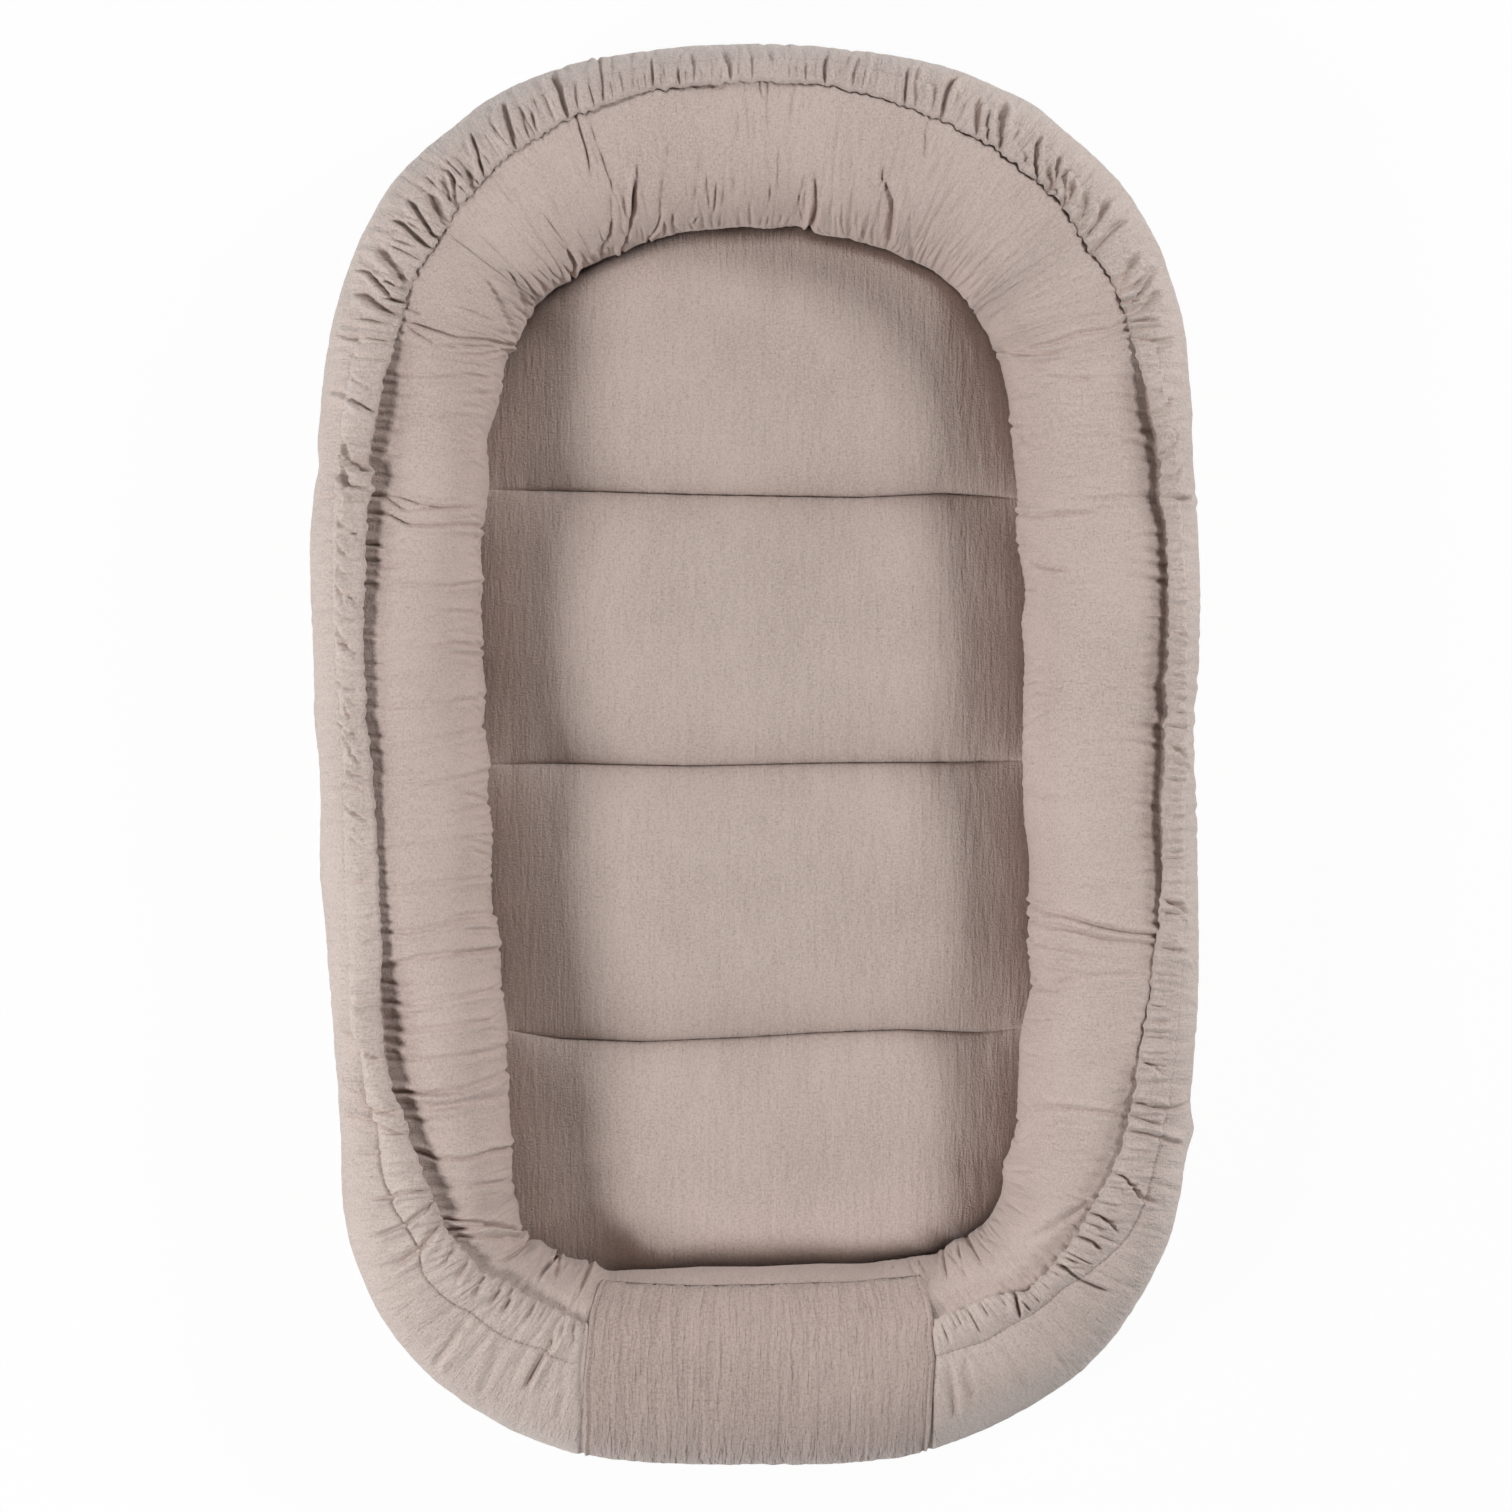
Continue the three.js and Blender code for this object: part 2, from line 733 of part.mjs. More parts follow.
// Seam round the pad, just outside the line where its covers meet
function padBeadSection(station) {
  const depth = station.roll + padPlay - gap - padBead;
  return beadSection(depth, padRimLevel - padBead / 2, padBead, padBead);
}

addPiece('pad_edge_seam', sweptSolid(wholePlaces, padBeadSection, true), thread);

export default lounger;
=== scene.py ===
import math

import bmesh
import bpy
import numpy as np
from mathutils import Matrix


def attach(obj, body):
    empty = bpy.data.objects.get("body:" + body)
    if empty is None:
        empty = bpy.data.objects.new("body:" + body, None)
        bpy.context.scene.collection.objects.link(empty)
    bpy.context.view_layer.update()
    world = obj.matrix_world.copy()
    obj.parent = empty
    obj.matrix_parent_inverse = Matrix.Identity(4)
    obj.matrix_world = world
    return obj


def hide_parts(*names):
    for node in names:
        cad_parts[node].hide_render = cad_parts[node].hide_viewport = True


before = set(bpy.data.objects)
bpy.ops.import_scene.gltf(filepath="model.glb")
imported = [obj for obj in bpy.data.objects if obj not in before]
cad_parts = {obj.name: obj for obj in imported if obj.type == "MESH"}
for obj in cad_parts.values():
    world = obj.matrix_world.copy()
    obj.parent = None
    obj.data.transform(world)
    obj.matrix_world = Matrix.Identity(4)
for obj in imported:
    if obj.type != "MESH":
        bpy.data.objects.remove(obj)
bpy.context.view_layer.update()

# Infant lounger seen from straight above. Geometry is worked out in millimetres, +Y towards the head end.
# A ring surface is described by u, the way round the plan, anticlockwise from the middle of the foot end,
# and by a, the way up and over the bolster's section, which is 0 at its outermost.

METRE = 0.001
SEED = 20261

# The photograph's frame: millimetres per pixel at the widest level, and the object's middle
PIXEL = 0.62
MIDDLE_X = 755.5
MIDDLE_Y = 754.5
IMAGE_SIDE = 1512
WIDEST_LEVEL = 66.0
CAMERA_HEIGHT = 3000.0
SENSOR = 36.0
# Levels at which the bolster's inner edge, the foot panel's inner end and the pad's sewn lines are seen
INNER_EDGE_LEVEL = 64.0
PANEL_END_LEVEL = 80.0
PAD_SEAMS_SEEN = 30.0

# The CAD's levels and layers
HALF_WIDTH = 275.5
HALF_LENGTH = 440.0
FILL_BOTTOM = 9.6
FILL_TOP = 124.1
ROLL_SAG = 8.0
ROLL_HALF_HEIGHT = (FILL_TOP - FILL_BOTTOM + ROLL_SAG) / 2
ROLL_MIDDLE = FILL_TOP - ROLL_HALF_HEIGHT
ROLL_SKIN = 1.75
COVER_SKIN = 5.3
SQUARENESS = 0.8
BASE_INSET = 22.0
PAD_RIM_LEVEL = 19.85
PAD_CROWN_LEVEL = 46.0
PAD_SEAM_LEVEL = 23.5

# How far round from the middle of the foot end the foot panel covers the bolster, in mm
FOOT_COVERED = 112.0
# Where the fitted cover and the foot panel begin, low on the outside
LOW_A = -56.0
# Levels of the two rows that lead from there down to the base seam
LOW_LEVELS = (2.4, 6.0)
# A pleat that starts below the first of these ways over the section goes on down to the second
SEEN_A = 16
UNSEEN_A = -30

# The plan curve, as shares of half the width and half the length, from the middle of the foot end
OUTLINE = [
    (0, -1), (0.391, -0.98), (0.732, -0.867), (0.919, -0.698), (0.98, -0.477), (0.996, -0.227), (0.99, 0),
    (1, 0.227), (0.982, 0.443), (0.942, 0.655), (0.791, 0.824), (0.465, 0.959), (0, 1), (-0.465, 0.959),
    (-0.789, 0.824), (-0.933, 0.655), (-0.982, 0.443), (-1, 0.239), (-0.985, 0), (-0.971, -0.227),
    (-0.942, -0.466), (-0.911, -0.693), (-0.746, -0.867), (-0.433, -0.979),
]

# The bolster's inner edge over the pad, in pixels
INNER_EDGE = [
    (650, 1271), (700, 1268), (760, 1268), (820, 1265), (880, 1263), (915, 1258), (937, 1256), (955, 1242),
    (970, 1238), (988, 1220), (1000, 1198), (1005, 1165), (1012, 1150), (1018, 1125), (1018, 1100),
    (1020, 1050), (1028, 1015), (1035, 988), (1028, 940), (1031, 895), (1031, 855), (1026, 820), (1024, 780),
    (1023, 715), (1025, 665), (1023, 620), (1025, 575), (1020, 548), (1017, 520), (1018, 490), (1014, 440),
    (1008, 400), (997, 355), (990, 332), (980, 320), (968, 298), (945, 275), (915, 259), (895, 250),
    (870, 242), (820, 230), (809, 225), (760, 226), (710, 227), (680, 230), (650, 238), (618, 251),
    (585, 266), (570, 277), (555, 287), (535, 303), (523, 325), (515, 340), (505, 365), (498, 400),
    (490, 425), (486, 437), (489, 480), (484, 515), (480, 540), (483, 580), (479, 603), (482, 640),
    (480, 652), (486, 690), (484, 725), (489, 760), (488, 790), (492, 840), (492, 910), (499, 940),
    (502, 990), (506, 1030), (507, 1100), (511, 1140), (510, 1180), (518, 1205), (522, 1235), (529, 1243),
    (540, 1243), (560, 1257), (588, 1263), (604, 1270),
]

# The free edge of the casing over the bolster, in pixels
HEM_EDGE = [
    (583, 1318), (540, 1298), (500, 1276), (470, 1252), (452, 1232), (443, 1213), (433, 1190), (420, 1155),
    (409, 1133), (411, 1124), (404, 1117), (405, 1108), (396, 1098), (387, 1060), (383, 1015), (382, 980),
    (382, 920), (378, 860), (375, 800), (370, 740), (367, 700), (365, 640), (366, 600), (368, 545),
    (370, 500), (378, 492), (374, 485), (376, 472), (370, 462), (373, 448), (380, 410), (387, 375),
    (395, 345), (402, 320), (410, 295), (420, 268), (435, 251), (445, 232), (460, 208), (480, 187),
    (500, 163), (540, 137), (560, 123), (577, 116), (610, 103), (650, 90), (680, 87), (715, 84), (750, 80),
    (790, 82), (835, 87), (880, 98), (932, 118), (975, 138), (1000, 153), (1025, 173), (1047, 190),
    (1065, 210), (1078, 232), (1088, 252), (1100, 263), (1115, 292), (1127, 322), (1136, 355), (1148, 400),
    (1155, 440), (1160, 470), (1158, 495), (1165, 520), (1168, 600), (1168, 625), (1166, 640), (1168, 662),
    (1163, 675), (1168, 715), (1162, 722), (1164, 760), (1161, 800), (1162, 880), (1158, 925), (1150, 985),
    (1143, 1030), (1135, 1085), (1127, 1120), (1120, 1150), (1105, 1180), (1085, 1215), (1065, 1245),
    (1045, 1268), (1020, 1292), (1012, 1288), (965, 1303), (932, 1316),
]

# The stitched line of the casing, in pixels
STITCH_EDGE = [
    (583, 1366), (552, 1357), (545, 1350), (500, 1335), (465, 1310), (435, 1290), (421, 1275), (419, 1250),
    (405, 1225), (390, 1205), (393, 1198), (383, 1185), (379, 1165), (375, 1125), (362, 1060), (350, 1000),
    (343, 900), (341, 760), (334, 640), (333, 500), (337, 460), (344, 400), (352, 350), (366, 300),
    (388, 245), (415, 200), (448, 162), (492, 123), (545, 92), (610, 73), (680, 61), (757, 57), (835, 61),
    (900, 75), (960, 92), (1010, 118), (1060, 158), (1096, 200), (1124, 246), (1145, 300), (1158, 350),
    (1167, 400), (1176, 460), (1183, 520), (1187, 620), (1188, 740), (1187, 870), (1180, 1000), (1173, 1075),
    (1166, 1120), (1158, 1155), (1145, 1205), (1128, 1240), (1065, 1288), (1033, 1315), (1005, 1330),
    (965, 1348), (935, 1357),
]

# Sewn lines of the pad, in pixels, from the head end
PAD_SEAMS = [
    [(488, 489), (600, 491), (690, 494), (860, 497), (940, 493), (1018, 497)],
    [(488, 765), (550, 763), (690, 766), (820, 763), (960, 762), (1020, 760)],
    [(506, 1031), (560, 1039), (640, 1042), (740, 1038), (820, 1033), (900, 1030), (980, 1033), (1024, 1028)],
]

# Foot panel's side edges and inner edge, in pixels
PANEL_LEFT = [(602, 1276), (595, 1287), (587, 1310), (584, 1345), (581, 1380), (583, 1420), (582, 1452)]
PANEL_RIGHT = [(918, 1273), (923, 1285), (932, 1318), (931, 1335), (934, 1360), (932, 1400), (930, 1447)]
PANEL_TOP = [(602, 1276), (640, 1280), (700, 1283), (760, 1282), (830, 1280), (880, 1276), (918, 1273)]
# Where the fitted cover goes under the foot panel's right and left side, in pixels
COVER_ENDS = [(932, 1345), (584, 1345)]

# Pleats of the fitted cover as seen from above: pixels from the hem outwards, depth and width in mm, and
# the side on which cloth stands up beside the valley, 1 for anticlockwise and -1 for clockwise
COVER_FOLDS = [
    ([(565, 110), (562, 100), (560, 89), (555, 80), (550, 74)], 4.2, 2.2, 1),
    ([(577, 108), (575, 95), (574, 80)], 1.4, 2.4, -1),
    ([(513, 143), (510, 133), (507, 121), (504, 108), (502, 99)], 4.0, 2.4, 1),
    ([(529, 138), (524, 125), (520, 110)], 1.6, 1.6, 1),
    ([(539, 137), (534, 125), (531, 108)], 2.2, 2.2, -1),
    ([(484, 179), (481, 169), (478, 156), (473, 141), (469, 129)], 3.4, 1.2, 1),
    ([(480, 187), (477, 181), (474, 174)], 2.0, 1.0, 1),
    ([(471, 185), (467, 175), (464, 167)], 3.6, 2.8, 1),
    ([(455, 206), (455, 190), (453, 177), (447, 169), (440, 167)], 3.2, 1.2, 1),
    ([(452, 203), (448, 190), (444, 179), (441, 170)], 3.0, 3.4, 1),
    ([(446, 222), (440, 213), (435, 202), (431, 193), (427, 188)], 7.0, 4.0, 1),
    ([(432, 234), (426, 225), (420, 216), (414, 208), (408, 201), (405, 195)], 5.0, 1.8, 1),
    ([(424, 245), (418, 239), (410, 232), (403, 224), (393, 219), (386, 219)], 5.0, 1.9, 1),
    ([(402, 281), (399, 273), (391, 264), (384, 256), (378, 248), (373, 244)], 4.6, 3.0, 1),
    ([(403, 291), (395, 287), (387, 281), (382, 275)], 3.0, 1.6, 1),
    ([(392, 299), (386, 291), (378, 284), (368, 273), (362, 270), (353, 268)], 3.4, 1.4, 1),
    ([(405, 304), (395, 301), (386, 298), (378, 293)], 2.6, 1.3, -1),
    ([(395, 314), (388, 312), (378, 306), (368, 298), (362, 294), (351, 291)], 4.6, 2.4, 1),
    ([(401, 325), (388, 323), (378, 321), (365, 319), (353, 317)], 3.0, 1.5, 1),
    ([(388, 341), (367, 337), (348, 338), (334, 331)], 2.6, 1.6, -1),
    ([(380, 343), (360, 342), (344, 335)], 1.6, 1.6, 1),
    ([(376, 359), (358, 356), (345, 353)], 1.6, 1.5, 1),
    ([(375, 392), (360, 382), (346, 372)], 1.4, 1.6, -1),
    ([(372, 412), (362, 404), (352, 398), (345, 398)], 3.6, 1.8, 1),
    ([(352, 398), (340, 392), (328, 390)], 1.8, 2.2, 1),
    ([(602, 100), (602, 82), (600, 62), (594, 52)], 1.5, 1.5, 1),
    ([(652, 88), (652, 74), (650, 55)], 1.8, 1.6, -1),
    ([(681, 86), (678, 74), (676, 64)], 1.5, 1.5, 1),
    ([(694, 84), (693, 66), (688, 50)], 1.3, 1.5, 1),
    ([(731, 80), (729, 66), (720, 48)], 2.0, 1.8, 1),
    ([(752, 78), (752, 64), (750, 50)], 0.9, 1.5, -1),
    ([(776, 78), (772, 62), (768, 48)], 1.0, 2.2, 1),
    ([(806, 80), (805, 70), (806, 60)], 1.3, 1.3, 1),
    ([(826, 84), (824, 66), (827, 52)], 2.4, 1.8, -1),
    ([(852, 90), (853, 72), (858, 54)], 2.0, 1.6, 1),
    ([(905, 104), (906, 86), (908, 66)], 1.4, 1.6, -1),
    ([(915, 104), (913, 82), (918, 64)], 1.0, 1.5, 1),
    ([(931, 113), (934, 98), (934, 82)], 1.4, 2.4, 1),
    ([(943, 110), (945, 100), (947, 91), (950, 82), (954, 76), (959, 73)], 4.4, 2.2, -1),
    ([(977, 136), (977, 120), (977, 106), (979, 96)], 2.4, 2.4, 1),
    ([(989, 140), (987, 124), (989, 106)], 1.5, 1.4, -1),
    ([(1002, 145), (1001, 133), (1001, 121), (1003, 108), (1006, 98)], 4.0, 2.4, -1),
    ([(1028, 164), (1025, 155), (1022, 146)], 1.2, 1.6, 1),
    ([(1039, 177), (1037, 168), (1036, 156), (1038, 144), (1042, 131)], 3.6, 1.3, -1),
    ([(1044, 185), (1044, 175)], 2.2, 1.0, -1),
    ([(1052, 184), (1051, 175), (1050, 166)], 3.8, 2.6, -1),
    ([(1058, 195), (1057, 183), (1058, 168), (1060, 156), (1064, 152)], 2.2, 1.3, -1),
    ([(1066, 201), (1064, 187), (1063, 177), (1067, 170), (1076, 167)], 3.4, 1.3, -1),
    ([(1070, 200), (1071, 188), (1073, 177)], 3.2, 3.2, -1),
    ([(1080, 224), (1082, 212), (1085, 200), (1089, 190)], 7.0, 4.4, -1),
    ([(1090, 234), (1095, 225), (1100, 218), (1104, 208), (1107, 202), (1112, 196)], 5.0, 1.9, -1),
    ([(1095, 252), (1099, 245), (1106, 237), (1114, 229), (1121, 223), (1129, 218)], 5.0, 1.9, -1),
    ([(1122, 284), (1125, 275), (1129, 267), (1135, 260), (1141, 252)], 4.6, 2.8, -1),
    ([(1125, 291), (1133, 287), (1139, 283), (1145, 277)], 3.2, 1.6, -1),
    ([(1136, 299), (1142, 289), (1148, 281), (1153, 273), (1160, 268)], 3.2, 1.3, 1),
    ([(1121, 304), (1133, 301), (1142, 298)], 2.6, 1.3, 1),
    ([(1134, 312), (1142, 308), (1150, 302), (1156, 295), (1165, 292)], 4.6, 2.4, -1),
    ([(1127, 323), (1138, 320), (1152, 321), (1164, 319)], 3.0, 1.5, -1),
    ([(1131, 330), (1145, 327), (1166, 326)], 2.0, 1.4, 1),
    ([(1136, 339), (1160, 342), (1178, 337)], 2.2, 1.6, -1),
    ([(1150, 405), (1160, 390), (1166, 378)], 2.0, 1.8, 1),
    ([(1155, 417), (1166, 405), (1176, 397)], 2.8, 2.2, -1),
    ([(1161, 458), (1171, 446), (1181, 435)], 3.6, 2.4, 1),
    ([(1163, 480), (1173, 476), (1184, 468)], 3.0, 1.8, -1),
    ([(1160, 497), (1177, 498), (1194, 501)], 2.6, 1.4, 1),
    ([(1169, 628), (1176, 634), (1188, 640)], 2.2, 1.8, -1),
    ([(1164, 726), (1176, 728), (1190, 730)], 2.4, 1.6, 1),
    ([(1170, 745), (1178, 756), (1190, 762)], 2.6, 2.0, -1),
    ([(1164, 815), (1175, 817), (1186, 820)], 1.8, 1.6, 1),
    ([(1166, 900), (1177, 907), (1190, 915)], 3.0, 2.0, -1),
    ([(1163, 947), (1176, 951), (1188, 955)], 1.8, 1.8, 1),
    ([(1145, 1062), (1152, 1066), (1162, 1072)], 2.8, 1.8, -1),
    ([(1131, 1101), (1150, 1106), (1168, 1110), (1188, 1105)], 3.0, 2.0, 1),
    ([(1128, 1114), (1146, 1121), (1164, 1128)], 2.6, 1.6, -1),
    ([(1140, 1132), (1163, 1139), (1184, 1146)], 2.6, 1.8, 1),
    ([(1112, 1172), (1124, 1176), (1141, 1199), (1161, 1205)], 2.8, 1.6, -1),
    ([(1076, 1235), (1085, 1238), (1095, 1243), (1102, 1252)], 5.0, 1.8, -1),
    ([(1101, 1216), (1110, 1224), (1120, 1235)], 3.6, 1.4, -1),
    ([(1056, 1259), (1068, 1270), (1080, 1280), (1115, 1294)], 3.2, 1.6, 1),
    ([(1060, 1266), (1075, 1268), (1088, 1270)], 1.8, 1.2, 1),
    ([(1014, 1290), (1017, 1305), (1022, 1322)], 4.0, 1.4, 1),
    ([(1033, 1318), (1068, 1370)], 1.1, 2.8, 1),
    ([(996, 1334), (1030, 1395)], 1.2, 3.0, 1),
    ([(962, 1350), (968, 1376), (976, 1405)], 1.3, 3.0, 1),
    ([(946, 1356), (952, 1385), (955, 1425)], 1.9, 3.0, 1),
    ([(355, 465), (350, 453), (345, 443), (339, 433)], 6.0, 3.0, 1),
    ([(356, 487), (352, 480), (347, 470), (342, 461)], 6.5, 3.4, 1),
    ([(366, 472), (361, 471), (354, 463)], 2.6, 1.2, 1),
    ([(369, 499), (336, 495), (316, 499)], 2.2, 1.6, -1),
    ([(362, 540), (350, 528), (336, 517)], 1.6, 1.8, 1),
    ([(360, 608), (350, 595), (337, 583)], 2.0, 2.0, 1),
    ([(356, 655), (348, 646), (336, 646)], 1.8, 2.0, 1),
    ([(391, 1150), (372, 1153), (352, 1153)], 1.2, 1.6, -1),
    ([(424, 1191), (415, 1191), (400, 1193), (392, 1198), (366, 1200)], 2.6, 1.3, 1),
    ([(436, 1200), (427, 1210), (418, 1215), (405, 1225), (385, 1233), (370, 1240)], 4.0, 1.6, 1),
    ([(448, 1221), (440, 1225), (430, 1238), (420, 1250), (400, 1263), (388, 1272)], 4.4, 2.2, 1),
    ([(453, 1248), (446, 1262), (438, 1270)], 1.8, 1.8, -1),
    ([(472, 1255), (463, 1270), (454, 1284)], 2.2, 1.8, 1),
    ([(488, 1268), (480, 1284), (473, 1300)], 2.2, 1.8, 1),
    ([(505, 1274), (497, 1292), (490, 1308)], 1.9, 1.8, -1),
    ([(513, 1284), (508, 1302), (503, 1318)], 2.0, 2.0, 1),
    ([(536, 1296), (530, 1312), (523, 1326)], 2.0, 2.0, -1),
    ([(555, 1326), (552, 1345), (542, 1357), (532, 1376), (523, 1394)], 3.6, 2.0, 1),
    ([(572, 1326), (574, 1340), (576, 1352)], 2.0, 1.4, -1),
    ([(470, 1312), (450, 1345), (432, 1372)], 1.0, 2.8, 1),
    ([(504, 1337), (490, 1370), (478, 1400)], 1.0, 3.0, -1),
    ([(568, 1362), (562, 1395), (556, 1425)], 1.2, 2.6, -1),
]

# Places where the cover is folded over itself: pixels from the hem outwards, how far the upper layer stands
# up and how soon it lies flat again, both in mm, and its side, 1 for clockwise
COVER_LAPS = [
    ([(380, 1056), (376, 1054), (370, 1050), (365, 1040), (358, 1032), (345, 1028), (338, 1024)], 5.6, 13, 1),
    ([(402, 1109), (385, 1108), (375, 1107), (368, 1099), (360, 1089), (350, 1085), (342, 1081)], 6.4, 14, 1),
    ([(410, 1131), (400, 1131), (385, 1124), (372, 1120), (360, 1116), (342, 1112)], 5.0, 8, 1),
    ([(372, 476), (358, 472), (350, 465), (340, 452)], 2.6, 4, -1),
    ([(376, 493), (360, 490), (350, 485), (340, 470)], 3.0, 5, -1),
]

# How high the casing's edge stands over the bolster in mm, at pixels along the hem
HEM_STANDS = [
    ((583, 1318), 3.0), ((543, 1299), 5.5), ((500, 1276), 5.5), ((468, 1250), 6.0), ((450, 1230), 8.5),
    ((437, 1199), 10.5), ((426, 1171), 12.0), ((414, 1144), 12.5), ((404, 1115), 10.5), ((387, 1060), 13.0),
    ((383, 1000), 16.0), ((382, 950), 7.5), ((379, 880), 5.5), ((374, 800), 5.8), ((369, 730), 9.0),
    ((366, 640), 10.0), ((368, 545), 12.0), ((371, 500), 13.0), ((375, 470), 14.5), ((378, 420), 16.0),
    ((386, 381), 12.5), ((395, 345), 6.0), ((405, 310), 2.4), ((435, 251), 2.0), ((480, 187), 1.6),
    ((540, 137), 1.0), ((680, 87), 0.9), ((735, 81), 2.8), ((775, 81), 3.0), ((835, 87), 0.7),
    ((1000, 153), 0.3), ((1088, 252), 0.8), ((1118, 300), 1.8), ((1132, 341), 3.4), ((1140, 370), 7.0),
    ((1148, 400), 12.5), ((1158, 450), 12.0), ((1164, 510), 10.0), ((1168, 600), 9.0), ((1165, 695), 10.5),
    ((1163, 760), 10.5), ((1161, 840), 9.0), ((1161, 880), 6.4), ((1157, 925), 6.2), ((1150, 985), 2.2),
    ((1139, 1050), 2.2), ((1130, 1105), 5.6), ((1115, 1165), 5.4), ((1090, 1205), 5.5), ((1065, 1245), 8.0),
    ((1012, 1288), 7.0), ((965, 1303), 9.0), ((932, 1316), 6.0),
]

# Where the cover's outline bulges or falls in, in mm, at pixels along it
WALL_BULGES = [
    ((880, 1460), -0.6), ((997, 1423), -0.6), ((1067, 1380), 0.4), ((1125, 1322), -2.2), ((1147, 1287), -2.3),
    ((1164, 1249), 0.2), ((1176, 1210), 0.6), ((1183, 1160), 0.8), ((1188, 1128), 6.0), ((1191, 1100), 0.0),
    ((1198, 880), 0.9), ((1197, 839), 1.2), ((1196, 798), 0.6), ((1195, 756), -1.1), ((1196, 715), -1.4),
    ((1198, 674), 0.8), ((1199, 633), 0.4), ((1194, 467), -0.4), ((1190, 415), 2.0), ((1187, 375), 1.3),
    ((1178, 303), 0.0), ((1067, 134), 0.4), ((1034, 110), 4.0), ((998, 89), 1.5), ((960, 73), 1.6),
    ((920, 62), 1.2), ((880, 54), -0.2), ((839, 49), -0.6), ((797, 46), 0.4), ((633, 54), 0.2),
    ((592, 62), 1.6), ((552, 73), 1.4), ((514, 89), 1.8), ((478, 109), 1.8), ((448, 131), -0.6),
    ((386, 191), -0.3), ((365, 227), -0.8), ((337, 304), 0.5), ((329, 345), 1.6), ((324, 386), 2.0),
    ((320, 427), 1.4), ((317, 452), 0.6), ((317, 468), -5.0), ((314, 484), 0.4), ((312, 551), 1.3),
    ((312, 633), 0.0), ((314, 674), -0.6), ((316, 716), 1.6), ((318, 757), -0.7), ((319, 798), -0.9),
    ((321, 840), 0.9), ((322, 881), 1.8), ((324, 922), -0.7), ((327, 963), 0.1), ((332, 1024), -1.6),
    ((334, 1050), 0.2), ((337, 1078), -1.2), ((338, 1100), -0.6), ((339, 1128), -2.7), ((343, 1211), -0.7),
    ((387, 1325), 0.0), ((443, 1386), 0.2), ((551, 1445), 0.0),
]

